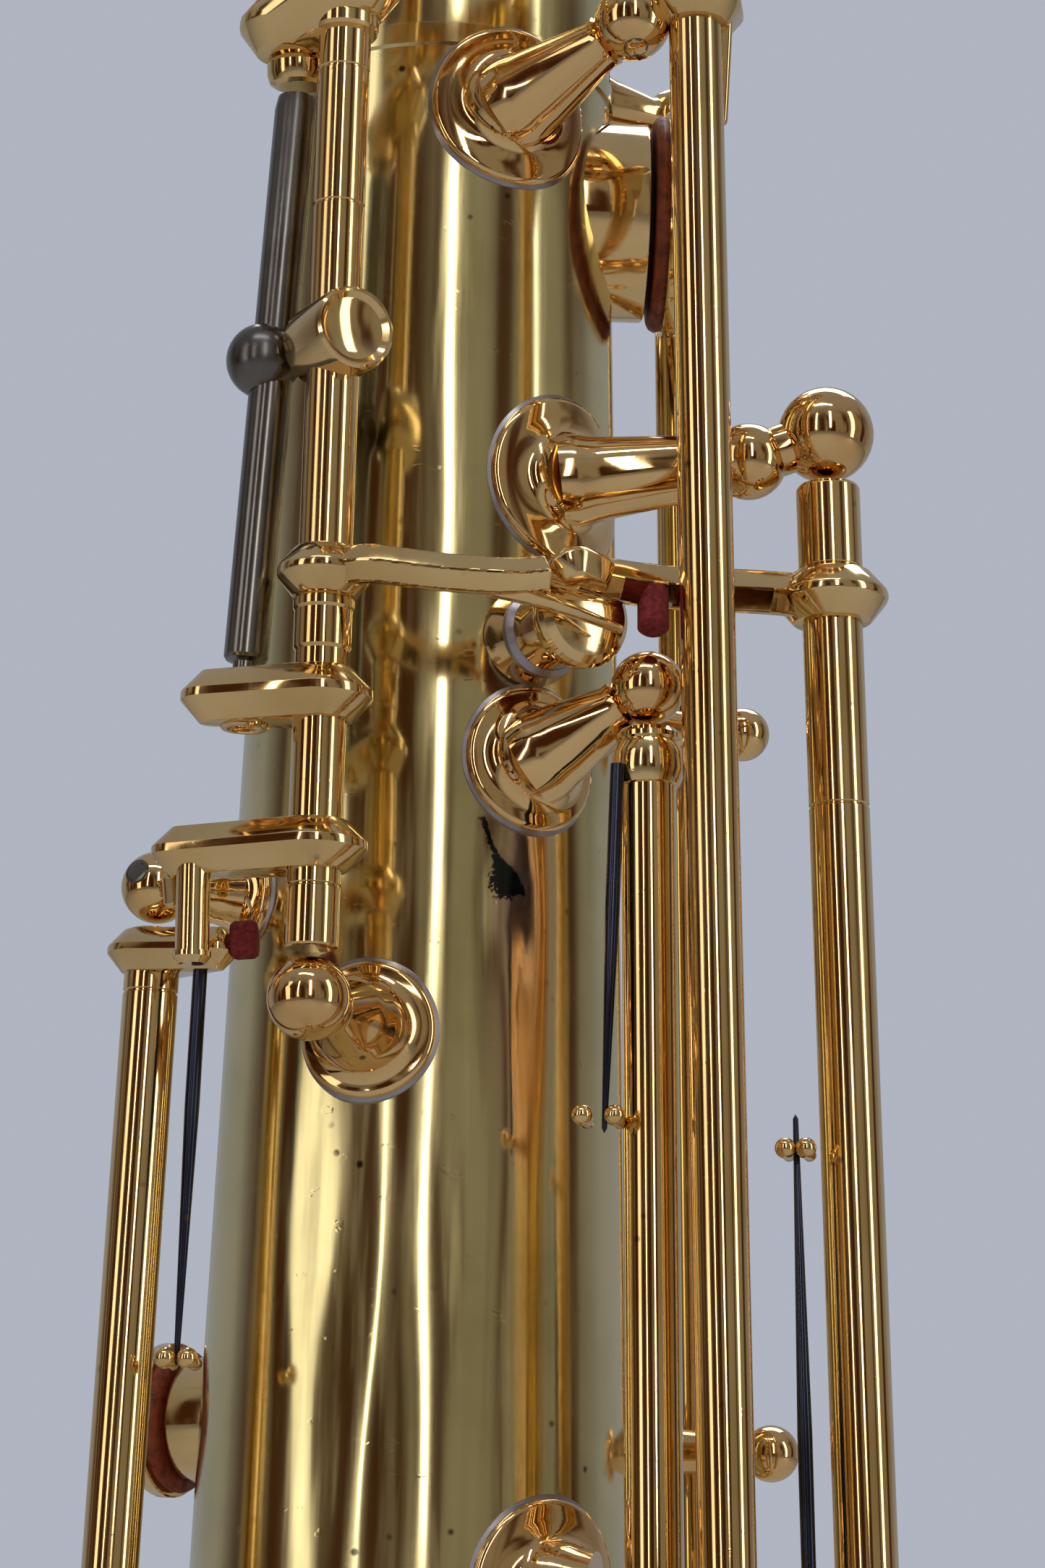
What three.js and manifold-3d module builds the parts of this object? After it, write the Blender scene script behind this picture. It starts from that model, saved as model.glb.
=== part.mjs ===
// Straight soprano saxophone, standing on its bell, in millimetres with +Z up.
// The thumb side faces -Y, the front with the finger keys faces +Y, and the
// player's right hand side faces +X.
import * as THREE from 'three';
import { mergeVertices } from 'three/addons/utils/BufferGeometryUtils.js';
import Module from 'manifold-3d';

// Conical body: outside radius at one height, and its change for each mm down.
const CONE_RADIUS = 12;
const CONE_HEIGHT = 429;
const CONE_TAPER = 0.0262;
const WALL = 0.9;
const BODY_BOTTOM = 88;
const BODY_TOP = 652;

// Bell and its rim.
const BELL_RADIUS = 46;
const RIM_HEIGHT = 2.8;
const BELL_TOP = 87.6;

// Tone holes and the keys that close them.
const CHIMNEY_HEIGHT = 2.3;
const CHIMNEY_WALL = 0.7;
const PAD_GAP = 0.35;
const CUP_WALL = 1.8;
const CUP_CROWN = 0.9;

// Keywork.
const TUBE_RADIUS = 1.65;
const BALL_RADIUS = 2.35;
const BALL_GAP = 0.35;
const ARM_WIDE = 3.2;
const ARM_THICK = 1.6;
const FIT_GAP = 0.3;

// Mouthpiece end.
const CORK_RADIUS = 7.3;
const CORK_BOTTOM = 628;
const CORK_TOP = 651.6;
const MOUTHPIECE_BOTTOM = 634;
const MOUTHPIECE_TOP = 700;

const wasm = await Module();
wasm.setup();

const UP = new THREE.Vector3(0, 0, 1);
const v = (x, y, z) => new THREE.Vector3(x, y, z);
const coneRadius = (z) => CONE_RADIUS + CONE_TAPER * (CONE_HEIGHT - z);

// A point at a bearing round the body, a height above its skin and a height up the body.
function at(bearing, above, z) {
  const a = THREE.MathUtils.degToRad(bearing);
  const r = coneRadius(z) + above;
  return v(r * Math.cos(a), r * Math.sin(a), z);
}

function outward(bearing) {
  const a = THREE.MathUtils.degToRad(bearing);
  return v(Math.cos(a), Math.sin(a), 0);
}

function toSolid(geometry) {
  geometry.deleteAttribute('normal');
  geometry.deleteAttribute('uv');
  const merged = mergeVertices(geometry, 1e-5);
  return new wasm.Manifold(new wasm.Mesh({
    numProp: 3,
    vertProperties: new Float32Array(merged.attributes.position.array),
    triVerts: new Uint32Array(merged.index.array),
  }));
}

function toGeometry(solid) {
  const mesh = solid.getMesh();
  const geometry = new THREE.BufferGeometry();
  geometry.setAttribute('position', new THREE.BufferAttribute(new Float32Array(mesh.vertProperties), 3));
  geometry.setIndex(new THREE.BufferAttribute(new Uint32Array(mesh.triVerts), 1));
  return geometry;
}

const join = (parts) => parts.reduce((whole, part) => whole.add(part));

// A round bar or cone from a to b.
function rod(a, b, startRadius, endRadius = startRadius, sides = 10) {
  const length = a.distanceTo(b);
  const shape = new THREE.CylinderGeometry(endRadius, startRadius, length, sides);
  const turn = new THREE.Quaternion().setFromUnitVectors(v(0, 1, 0), b.clone().sub(a).normalize());
  shape.applyQuaternion(turn);
  shape.translate((a.x + b.x) / 2, (a.y + b.y) / 2, (a.z + b.z) / 2);
  return toSolid(shape);
}

// A flat bar from a to b, its width lying as near as it can to a given direction.
function bar(a, b, wide = ARM_WIDE, thick = ARM_THICK, across = UP) {
  const along = b.clone().sub(a).normalize();
  const side = across.clone().addScaledVector(along, -across.dot(along)).normalize();
  const face = along.clone().cross(side);
  const shape = new THREE.BoxGeometry(a.distanceTo(b) + thick, wide, thick);
  shape.applyMatrix4(new THREE.Matrix4().makeBasis(along, side, face));
  shape.translate((a.x + b.x) / 2, (a.y + b.y) / 2, (a.z + b.z) / 2);
  return toSolid(shape);
}

function path(points, wide = ARM_WIDE, thick = ARM_THICK, across = UP) {
  return points.slice(1).map((point, i) => {
    const slimmer = 1 - 0.03 * i;
    return bar(points[i], point, wide * slimmer, thick * slimmer, across);
  });
}

function ball(centre, radius, sides = 8) {
  const shape = new THREE.SphereGeometry(radius, sides, Math.round(sides * 0.75));
  shape.rotateX(Math.PI / 2);
  shape.translate(centre.x, centre.y, centre.z);
  return toSolid(shape);
}

// A turned solid about Z from radius and height pairs.
function turned(pairs, sides = 32) {
  const shape = new THREE.LatheGeometry(pairs.map(([r, z]) => new THREE.Vector2(r, z)), sides);
  shape.rotateX(Math.PI / 2);
  return toSolid(shape);
}

// A turned ring: the profile is walked back to its own start.
const turnedRing = (pairs, sides) => turned([...pairs, pairs[0]], sides);

// The cone of the body grown or shrunk by a distance, as a solid.
function cone(extra, bottom, top, sides = 32) {
  return turned([
    [0, bottom],
    [coneRadius(bottom) + extra, bottom],
    [coneRadius(top) + extra, top],
    [0, top],
  ], sides);
}

// ---------------------------------------------------------------- the keys

// Hinge line that follows the cone at one bearing and distance from the skin.
const onCone = (bearing, above, low, high) => [at(bearing, above, low), at(bearing, above, high)];

// Hinge line between two measured points, cut to the heights wanted.
function between(a, b, low, high) {
  const point = (z) => a.clone().lerp(b, (z - a.z) / (b.z - a.z));
  return [point(low), point(high)];
}

const pointAt = ([a, b], z) => a.clone().lerp(b, (z - a.z) / (b.z - a.z));

// A shallow dished lid standing on its pad face, as one turned solid pushed out from the body.
function cup(bearing, z, radius, sides = 12) {
  const profile = [
    [0, 0],
    [radius, 0],
    [radius, CUP_WALL],
    [radius * 0.7, CUP_WALL + CUP_CROWN],
    [0, CUP_WALL + CUP_CROWN],
  ].map(([r, h]) => new THREE.Vector2(r, h));
  const shape = new THREE.LatheGeometry(profile, sides);
  shape.applyQuaternion(new THREE.Quaternion().setFromUnitVectors(v(0, 1, 0), outward(bearing)));
  const foot = at(bearing, CHIMNEY_HEIGHT + PAD_GAP, z);
  shape.translate(foot.x, foot.y, foot.z);
  return toSolid(shape);
}

const cupCrown = (bearing, z) => at(bearing, CHIMNEY_HEIGHT + PAD_GAP + CUP_WALL + CUP_CROWN - 0.4, z);

// The arm from a hinge over the edge of a cup to the middle of it.
function cupArm(hinge, [bearing, z, radius], wide) {
  const centre = cupCrown(bearing, z);
  const from = pointAt(hinge, z);
  const sideways = v(-outward(bearing).y, outward(bearing).x, 0);
  const sign = Math.sign(from.clone().sub(centre).dot(sideways));
  const edge = centre.clone().addScaledVector(sideways, sign * (radius + 0.4));
  return path([from, edge, centre], wide);
}

function hingeTube(hinge, radius = TUBE_RADIUS) {
  return rod(hinge[0], hinge[1], radius);
}

// Turns a finished solid about its hinge line.
function swing(solid, hinge, degrees) {
  const axis = hinge[1].clone().sub(hinge[0]).normalize();
  const turn = new THREE.Matrix4().makeTranslation(hinge[0])
    .multiply(new THREE.Matrix4().makeRotationAxis(axis, THREE.MathUtils.degToRad(degrees)))
    .multiply(new THREE.Matrix4().makeTranslation(hinge[0].clone().negate()));
  const geometry = toGeometry(solid);
  geometry.applyMatrix4(turn);
  return toSolid(geometry);
}

// Which way about the hinge line lifts the cup away from the body.
function liftSign(hinge, [bearing, z]) {
  const axis = hinge[1].clone().sub(hinge[0]).normalize();
  const reach = cupCrown(bearing, z).sub(pointAt(hinge, z));
  return Math.sign(axis.cross(reach).dot(outward(bearing)));
}

// A finger plate lying along the body, with clipped corners.
function paddle(bearing, above, z, length, wide) {
  const out = outward(bearing);
  const across = v(-out.y, out.x, 0);
  const half = wide / 2;
  const tall = (length + wide) / 2;
  const clip = wide * 0.3;
  const corners = [
    [half, tall - clip],
    [half - clip, tall],
    [clip - half, tall],
    [-half, tall - clip],
    [-half, clip - tall],
    [clip - half, -tall],
    [half - clip, -tall],
    [half, clip - tall],
  ].map(([x, y]) => new THREE.Vector2(x, y));
  const shape = new THREE.ExtrudeGeometry(new THREE.Shape(corners), { depth: 1.8, bevelEnabled: false });
  shape.translate(0, 0, -0.9);
  shape.applyMatrix4(new THREE.Matrix4().makeBasis(across, UP, out.clone()));
  const middle = at(bearing, above, z);
  shape.translate(middle.x, middle.y, middle.z);
  return toSolid(shape);
}

// Seven cups over the front of the body share two straight rows of posts.
const FRONT_ROW = [62, 6.2];
const frontKeys = [
  { name: 'key_d', span: [217.5, 245.6], cup: [90, 232, 9], lift: 10, pearl: true },
  { name: 'key_e', span: [246.0, 276.6], cup: [90, 262, 8.7], lift: 10, pearl: true },
  { name: 'key_f', span: [277.0, 304.6], cup: [90, 292, 8.4], lift: 10, pearl: true },
  { name: 'key_f_sharp', span: [305.0, 328], cup: [90, 317, 6.8], lift: 10 },
  { name: 'key_g', span: [361, 392.8], cup: [90, 371, 7.8], lift: 10, pearl: true },
  { name: 'key_bis', span: [393.2, 404.2], cup: [90, 399, 4.8], lift: 10 },
  { name: 'key_a', span: [404.6, 431.6], cup: [90, 421, 6.6], lift: 10, pearl: true },
  { name: 'key_b', span: [432.0, 455.2], cup: [90, 443, 5.8], lift: 10, pearl: true },
  { name: 'key_small_c', span: [455.6, 472], cup: [90, 464, 4.8], lift: 10 },
].map((key) => ({ ...key, hinge: onCone(...FRONT_ROW, ...key.span) }));

// Rods of the side and thumb keys, given by two points on each.
const SIDE_B_ROD = [v(14.2, -14.1, 383.6), v(13.3, -13.1, 432.4)];
const HIGH_E_ROD = [v(18.1, -17.2, 381.7), v(16.2, -16, 454.3)];
const VENT_ROD = [v(26.6, -10, 381.8), v(24.4, -9, 450)];
const CARRIAGE_ROD = [v(-6.1, -18, 412), v(-5.9, -18, 469.5)];
const LINK_ROD = [v(-16.95, -10, 381), v(-16.1, -9, 419)];
const LEVER_ROD = [v(11.8, -15, 474.6), v(10.4, -14.2, 512)];

const sideB = between(...SIDE_B_ROD, 304, 429.6);
const highE = between(...HIGH_E_ROD, 336, 535);
const vent = between(...VENT_ROD, 366, 446.5);
const carriage = between(...CARRIAGE_ROD, 415.2, 483);
const link = between(...LINK_ROD, 349, 417.6);
const lever = between(...LEVER_ROD, 477.6, 512);
const sideC = onCone(30, 7.4, 321, 476);

const sideKeys = [
  {
    name: 'key_side_b_flat',
    hinge: sideB,
    cup: [-6, 350, 5.6],
    lift: 8,
    closed: true,
    arm: [pointAt(sideB, 350), v(17, -7, 350)],
    touch: { bearing: -24, above: 11, z: 309, length: 9, wide: 7 },
  },
  {
    name: 'key_high_e',
    hinge: highE,
    cup: [0, 526, 5.2],
    lift: 10,
    closed: true,
    touch: { bearing: -12, above: 11, z: 343, length: 9, wide: 7 },
  },
  {
    name: 'key_side_c',
    hinge: sideC,
    cup: [2, 467.5, 7.4],
    lift: 9,
    closed: true,
    touch: { bearing: 2, above: 11, z: 326, length: 9, wide: 7 },
  },
  {
    name: 'key_g_sharp',
    hinge: onCone(128, 6.4, 340, 398),
    cup: [156, 389, 4.8],
    lift: 9,
    closed: true,
    touch: { bearing: 158, above: 9, z: 346, length: 8, wide: 8 },
  },
  {
    name: 'key_low_c_sharp',
    hinge: onCone(204, 6.2, 138, 336),
    cup: [240, 152, 9.0],
    lift: 9,
    closed: true,
    touch: { bearing: 188, above: 12.4, z: 326, length: 5, wide: 9 },
  },
  {
    name: 'key_low_b',
    hinge: onCone(172, 6.2, 124, 318),
    cup: [134, 133.5, 10.4],
    lift: 9,
    touch: { bearing: 174, above: 12.4, z: 310, length: 5, wide: 9 },
  },
  {
    name: 'key_low_b_flat',
    hinge: onCone(186, 6.2, 98, 304),
    cup: [126, 108.5, 10.6],
    lift: 8,
    touch: { bearing: 182, above: 12.4, z: 294, length: 5, wide: 9 },
  },
  {
    name: 'key_low_c',
    hinge: onCone(24, 6.2, 156, 187),
    cup: [66, 170, 9.8],
    lift: 10,
    touch: { bearing: -6, above: 10, z: 180, length: 8, wide: 9 },
  },
  {
    name: 'key_e_flat',
    hinge: onCone(8, 6.2, 194, 222),
    cup: [46, 201, 8.2],
    lift: 10,
    closed: true,
    touch: { bearing: -22, above: 9, z: 214, length: 8, wide: 9 },
  },
  {
    name: 'key_palm_d',
    hinge: onCone(206, 6.0, 484.6, 500.5),
    cup: [164, 493, 5.4],
    lift: 11,
    closed: true,
    touch: { bearing: 178, above: 12, z: 489, length: 9, wide: 7 },
  },
  {
    name: 'key_palm_e_flat',
    hinge: onCone(132, 6.0, 500, 522),
    cup: [176, 515, 5.2],
    lift: 11,
    closed: true,
    touch: { bearing: 166, above: 12, z: 504, length: 6, wide: 7 },
  },
  {
    name: 'key_palm_f',
    hinge: onCone(212, 6.0, 526, 556),
    cup: [166, 548, 5.0],
    lift: 11,
    closed: true,
    touch: { bearing: 190, above: 12, z: 531, length: 8, wide: 7 },
  },
];

const holedKeys = [...frontKeys, ...sideKeys];

function touchParts(hinge, { bearing, above, z, length, wide }) {
  const plate = at(bearing, above, z);
  return [...path([pointAt(hinge, z), plate], 3.4), paddle(bearing, above, z, length, wide)];
}

function keySolid(key) {
  const wide = Math.min(5, 2 + key.cup[2] * 0.3);
  const arm = key.arm ? path(key.arm, 3) : cupArm(key.hinge, key.cup, wide);
  const parts = [hingeTube(key.hinge), cup(...key.cup), ...arm];
  if (key.touch) {
    parts.push(...touchParts(key.hinge, key.touch));
  }
  const whole = join(parts);
  const open = key.closed ? 0 : key.lift;
  return open ? swing(whole, key.hinge, open * liftSign(key.hinge, key.cup)) : whole;
}

// ------------------------------------------------- thumb and octave keywork

// A bevelled collar round a hinge tube, from which an arm springs.
function boss(hinge, z, height, radius) {
  const a = pointAt(hinge, z - height / 2);
  const b = pointAt(hinge, z + height / 2);
  return rod(a, b, radius, radius, 12);
}

const VENT_POST_BALL = v(19.6, -9, 448);
const VENT_CUP = v(9.0, -14.9, 436.0);
const VENT_SEAT_DIRECTION = v(0.5, -0.86, 0).normalize();

function carriageSolid() {
  const hub = (z) => pointAt(carriage, z);
  const barrel = hub(452.1);
  const along = v(0.5, -0.866, 0);
  return join([
    hingeTube(carriage, 1.6),
    rod(barrel.clone().addScaledVector(along, -1.9), barrel.clone().addScaledVector(along, 3), 2.6),
    boss(carriage, 437.6, 2.8, 2.7),
    ...path([hub(437.6), v(1, -20.6, 437.3), v(6.9, -19.4, 437.2)], 2.2, 1.7),
    boss(carriage, 431, 3.2, 3.2),
    bar(hub(431), v(-13.8, -18.6, 431), 3.2, 1.8),
    boss(carriage, 421.4, 3, 3.1),
    bar(hub(421.4), v(-15.0, -16.0, 420.8), 2.8, 1.8),
    rod(v(-13.1, -17.2, 421), v(-13, -17.2, 414.4), 0.8, 0.8, 8),
    boss(carriage, 473.4, 3.4, 2.9),
    bar(hub(473.4), v(-10.6, -18.4, 472.6), 3.4, 1.8),
    bar(hub(480.2), v(-13, -18.4, 480.2), 2.8, 1.6),
  ]);
}

const ROCKER_LOW = v(-10.6, -16.2, 433.4);
const ROCKER_HIGH = v(-8.9, -15, 469);
function rockerSolid() {
  return join([
    rod(ROCKER_LOW, ROCKER_HIGH, 1.3, 1.3, 12),
    ball(v(-10.3, -15.6, 451.6), 2.2, 10),
  ]);
}

function ventKeySolid() {
  const hub = pointAt(vent, 439);
  const crown = VENT_CUP.clone().addScaledVector(VENT_SEAT_DIRECTION, 1.6);
  const foot = VENT_CUP.clone().addScaledVector(VENT_SEAT_DIRECTION, -0.2);
  return join([
    hingeTube(vent, 1.85),
    boss(vent, 439, 3.2, 3.4),
    ...path([hub, v(16.8, -11.4, 438.2), v(11.5, -14.2, 437.8), v(8.0, -16.6, 437.6)], 2.4, 1.5),
    rod(foot, crown, 3.1, 2.5, 14),
  ]);
}

function leverSolid() {
  const hub = pointAt(lever, 505);
  return join([
    hingeTube(lever, 1.6),
    bar(hub, v(3, -18.2, 505), 4, 1.8),
    paddle(262, 7.6, 505.5, 8, 9),
    ...path([pointAt(lever, 481.6), v(1, -22.3, 481.2), v(-6, -22.3, 480.8), v(-12.6, -21.3, 480.4)],
      2.8, 1.5),
  ]);
}

function linkSolid() {
  const hub = pointAt(link, 415.8);
  return join([
    hingeTube(link, 1.65),
    boss(link, 415.8, 2.8, 2.8),
    bar(hub, v(-10.2, -14.4, 415.6), 2.4, 1.6),
    bar(pointAt(link, 353), at(186, 10, 353), 3, 1.7),
    paddle(180, 10, 353, 6, 7),
  ]);
}

// The neck key is one long lever rocking on a cross pin high on the thumb side.
const NECK_PIN_Z = 556;
const NECK_HOLE_Z = 598;
const NECK_ABOVE = 5.4;
function neckKeySolid() {
  const pin = at(270, NECK_ABOVE, NECK_PIN_Z);
  const crown = at(270, CHIMNEY_HEIGHT + PAD_GAP + 1.6, NECK_HOLE_Z);
  const foot = at(270, CHIMNEY_HEIGHT + PAD_GAP, NECK_HOLE_Z);
  return join([
    rod(v(-2.6, pin.y, pin.z), v(2.6, pin.y, pin.z), 1.5),
    ...path([at(270, 4.6, 526), at(270, NECK_ABOVE + 0.6, 542), pin, at(270, 5.2, 580), crown],
      3, 1.6, v(1, 0, 0)),
    rod(foot, crown, 3, 2.4, 14),
  ]);
}

// ------------------------------------------------------- fixed metal pieces

// A post stands on a round foot and ends in a ball with the hinge in line.
function post(centre, footBearing, footZ, footRadius, radius = BALL_RADIUS, sides = 8) {
  const foot = at(footBearing, 0.8, footZ);
  const inside = at(footBearing, -1.6, footZ);
  const neck = foot.clone().lerp(centre, 0.2);
  return join([
    rod(inside, foot, footRadius, footRadius, sides + 2),
    rod(foot.clone().lerp(inside, 0.3), neck, footRadius * 0.62, radius * 0.62, sides),
    rod(foot, centre, radius * 0.62, radius * 0.5, sides),
    ball(centre, radius, sides),
  ]);
}

const bearingOf = (p) => THREE.MathUtils.radToDeg(Math.atan2(p.y, p.x));

// Ball centres just beyond both ends of a hinge tube.
function ballsBeyond([a, b], radius = BALL_RADIUS) {
  const along = b.clone().sub(a).normalize().multiplyScalar(radius + BALL_GAP);
  return [a.clone().sub(along), b.clone().add(along)];
}

// Posts soldered to the body for every hinge not carried by a separate post.
function solderedPosts() {
  const rows = [
    [frontKeys[0].hinge[0], frontKeys[3].hinge[1]],
    [frontKeys[4].hinge[0], frontKeys[8].hinge[1]],
    ...sideKeys.filter((key) => !['key_side_b_flat'].includes(key.name)).map((key) => key.hinge),
  ];
  const centres = rows.flatMap((row) => ballsBeyond(row));
  centres.push(ballsBeyond(sideB)[0], ballsBeyond(vent)[0], ballsBeyond(link)[0]);
  centres.push(ballsBeyond(carriage)[1], ballsBeyond(lever)[1]);
  const highELow = ballsBeyond(highE)[0];
  return centres.map((centre) => {
    const aside = centre.distanceTo(highELow) < 1 ? 42 : 0;
    const foot = at(bearingOf(centre) + aside, -1.6, centre.z);
    return join([rod(foot, centre, 1.9, 1.2, 6), ball(centre, BALL_RADIUS, 6)]);
  });
}

// Lugs either side of the neck key's cross pin.
function neckLugs() {
  return [-1, 1].map((side) => {
    const end = v(side * 4.3, at(270, NECK_ABOVE, NECK_PIN_Z).y, NECK_PIN_Z);
    return bar(v(side * 4.3, -5, NECK_PIN_Z), end, 3.4, 2, UP);
  });
}

function chimneys() {
  const holes = holedKeys.map(({ cup: [bearing, z, radius] }) => [bearing, z, radius - 1.6]);
  holes.push([270, NECK_HOLE_Z, 1.7]);
  const outer = holes.map(([bearing, z, r]) => rod(
    at(bearing, -coneRadius(z) * 0.55, z), at(bearing, CHIMNEY_HEIGHT, z), r + CHIMNEY_WALL,
    r + CHIMNEY_WALL, 10));
  const inner = holes.map(([bearing, z, r]) => rod(
    at(bearing, -coneRadius(z) * 0.6, z), at(bearing, CHIMNEY_HEIGHT + 1, z), r, r, 10));
  return { outer, inner };
}

// The octave vent seat is a short leaning tube below the vent cup.
function ventSeat() {
  const lip = VENT_CUP.clone().addScaledVector(VENT_SEAT_DIRECTION, -0.55);
  const root = VENT_CUP.clone().addScaledVector(VENT_SEAT_DIRECTION, -9);
  const bore = lip.clone().addScaledVector(VENT_SEAT_DIRECTION, 1);
  return { outer: rod(root, lip, 2.2, 2.0, 12), inner: rod(root, bore, 1.1, 1.1, 8) };
}

function bodySolid() {
  const { outer, inner } = chimneys();
  const seat = ventSeat();
  const skin = cone(0, BODY_BOTTOM, BODY_TOP);
  const bore = cone(-WALL, BODY_BOTTOM - 1, BODY_TOP + 1, 24);
  const metal = join([skin, ...outer, seat.outer, ...solderedPosts(), ...neckLugs()]);
  return [bore, ...inner, seat.inner].reduce((whole, cutter) => whole.subtract(cutter), metal);
}

// The bell's flare as a wall of even thickness.
function bellSolid() {
  const steps = 7;
  const throat = coneRadius(BELL_TOP);
  const mouth = BELL_RADIUS - 1.2;
  const outside = [];
  const inside = [];
  for (let i = 0; i <= steps; i += 1) {
    const t = i / steps;
    const z = THREE.MathUtils.lerp(RIM_HEIGHT + 0.3, BELL_TOP, t);
    const cone0 = coneRadius(z);
    const flare = (mouth - coneRadius(0)) * Math.pow(1 - t, 3.2);
    outside.push([i === steps ? throat : cone0 + flare, z]);
    inside.unshift([(i === steps ? throat : cone0 + flare) - 1, z]);
  }
  return turnedRing([...outside, ...inside], 32);
}

const rimSolid = () => turnedRing([
  [BELL_RADIUS - 2.4, 0],
  [BELL_RADIUS, 0],
  [BELL_RADIUS, 1.4],
  [BELL_RADIUS - 0.9, RIM_HEIGHT],
  [BELL_RADIUS - 2.4, RIM_HEIGHT],
], 40);

function bandSolid(bottom, top, thick, sides = 32) {
  const inner = (z) => coneRadius(z) + FIT_GAP;
  return turnedRing([
    [inner(bottom), bottom],
    [inner(bottom) + thick * 0.6, bottom],
    [inner(bottom) + thick, (bottom + top) / 2],
    [inner(top) + thick * 0.6, top],
    [inner(top), top],
  ], sides);
}

// A post of its own, its foot shaped to the body with a hair gap.
function freePost(centre, bearing, z, footRadius, ballRadius, extras = []) {
  const whole = join([post(centre, bearing, z, footRadius, ballRadius, 8), ...extras]);
  return whole.subtract(cone(FIT_GAP, z - 20, z + 20));
}

// A stay with a cupped head that keeps the long side rods from bowing.
function saddle() {
  const head = pointAt(sideB, 379).add(v(-1.6, 2.4, 0));
  const foot = at(309, 0.8, 378.4);
  const whole = join([
    rod(at(309, -1.6, 378.4), foot, 4.8, 4.8, 14),
    rod(foot, head, 2.6, 1.5, 10),
    ball(head, 1.9, 10),
  ]);
  const channel = between(...SIDE_B_ROD, 370, 388);
  return whole.subtract(rod(...channel, TUBE_RADIUS + 0.4)).subtract(cone(FIT_GAP, 360, 396));
}

function strapRing() {
  const foot = at(270, 0, 358);
  const eye = at(270, 6.8, 358);
  const ring = new THREE.TorusGeometry(4.6, 1.1, 6, 16);
  const out = outward(270);
  ring.applyMatrix4(new THREE.Matrix4().makeBasis(v(0, 0, 1), out, v(0, 0, 1).cross(out)));
  ring.translate(eye.x, eye.y, eye.z);
  const plate = rod(at(270, -1.6, 358), at(270, 0.9, 358), 5.2, 4.9, 20);
  const stem = rod(foot, at(270, 2.4, 358), 2, 1.6, 10);
  return join([plate, stem, toSolid(ring)]).subtract(cone(FIT_GAP, 340, 376));
}

function thumbHook() {
  const z = 322;
  const plate = bar(at(270, 0.6, z - 9), at(270, 0.6, z + 9), 9, 2.6, v(1, 0, 0));
  const hook = path([
    at(270, 1, z + 4),
    at(270, 9, z + 4),
    at(270, 16, z + 1),
    at(270, 19, z - 8),
  ], 8, 2, v(1, 0, 0));
  return join([plate, ...hook]).subtract(cone(FIT_GAP, z - 30, z + 30));
}

function thumbRest() {
  const foot = at(236, -1, 505);
  const face = at(236, 4.6, 505);
  return join([rod(foot, face, 3.2, 4.8, 18)]).subtract(cone(FIT_GAP, 480, 530));
}

// A guard is a strap on two legs with round feet, standing over open cups.
function guard(bearing, low, high, above) {
  const legs = [low, high].flatMap((z) => [
    rod(at(bearing, -1, z), at(bearing, above, z), 1.3, 1.3, 8),
    rod(at(bearing, -1, z), at(bearing, 1.1, z), 2.5, 2.3, 10),
  ]);
  const side = v(-outward(bearing).y, outward(bearing).x, 0);
  const strap = bar(at(bearing, above, low), at(bearing, above, high), 4.6, 1.5, side);
  const middle = (low + high) / 2;
  const stop = rod(at(bearing, above - 1.6, middle), at(bearing, above + 1.2, middle), 3, 3, 14);
  return join([...legs, strap, stop]).subtract(cone(FIT_GAP, low - 10, high + 10));
}

// ------------------------------------------------------------- mouthpiece

const TABLE_Y = -7.9;
function mouthpieceSolid() {
  const outside = turned([
    [0, MOUTHPIECE_BOTTOM],
    [9.4, MOUTHPIECE_BOTTOM],
    [9.9, MOUTHPIECE_BOTTOM + 3],
    [10.3, MOUTHPIECE_BOTTOM + 16],
    [9.7, MOUTHPIECE_TOP - 22],
    [8.3, MOUTHPIECE_TOP],
    [0, MOUTHPIECE_TOP],
  ], 32);
  const table = new THREE.BoxGeometry(40, 20, 60);
  table.translate(0, TABLE_Y - 10, MOUTHPIECE_TOP - 60 + 30 + 6);
  const beak = new THREE.BoxGeometry(40, 30, 80);
  beak.rotateX(THREE.MathUtils.degToRad(25));
  beak.translate(0, 22.4, MOUTHPIECE_TOP - 2);
  const window = new THREE.BoxGeometry(7.6, 14, 28);
  window.translate(0, TABLE_Y, MOUTHPIECE_TOP - 18);
  const shank = rod(v(0, 0, MOUTHPIECE_BOTTOM - 1), v(0, 0, CORK_TOP + 1), CORK_RADIUS + 0.35,
    CORK_RADIUS + 0.35, 28);
  const throat = rod(v(0, 0, CORK_TOP), v(0, -2, MOUTHPIECE_TOP - 26), 5.2, 3.8, 20);
  return outside.subtract(toSolid(table)).subtract(toSolid(beak)).subtract(toSolid(window))
    .subtract(shank).subtract(throat);
}

function reedSolid() {
  const side = new THREE.Shape();
  const y = TABLE_Y - FIT_GAP;
  side.moveTo(y, MOUTHPIECE_TOP - 52);
  side.lineTo(y, MOUTHPIECE_TOP + 0.2);
  side.lineTo(y - 0.3, MOUTHPIECE_TOP + 0.2);
  side.lineTo(y - 2.1, MOUTHPIECE_TOP - 26);
  side.lineTo(y - 2.1, MOUTHPIECE_TOP - 52);
  side.closePath();
  const shape = new THREE.ExtrudeGeometry(side, { depth: 11.4, bevelEnabled: false });
  const basis = new THREE.Matrix4().makeBasis(v(0, 1, 0), v(0, 0, 1), v(1, 0, 0));
  shape.applyMatrix4(basis);
  shape.translate(-5.7, 0, 0);
  const blank = toSolid(shape);
  const rounded = rod(v(0, 0, MOUTHPIECE_TOP - 60), v(0, 0, MOUTHPIECE_TOP + 5), 10.2, 10.2, 40);
  return blank.intersect(rounded);
}

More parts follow.
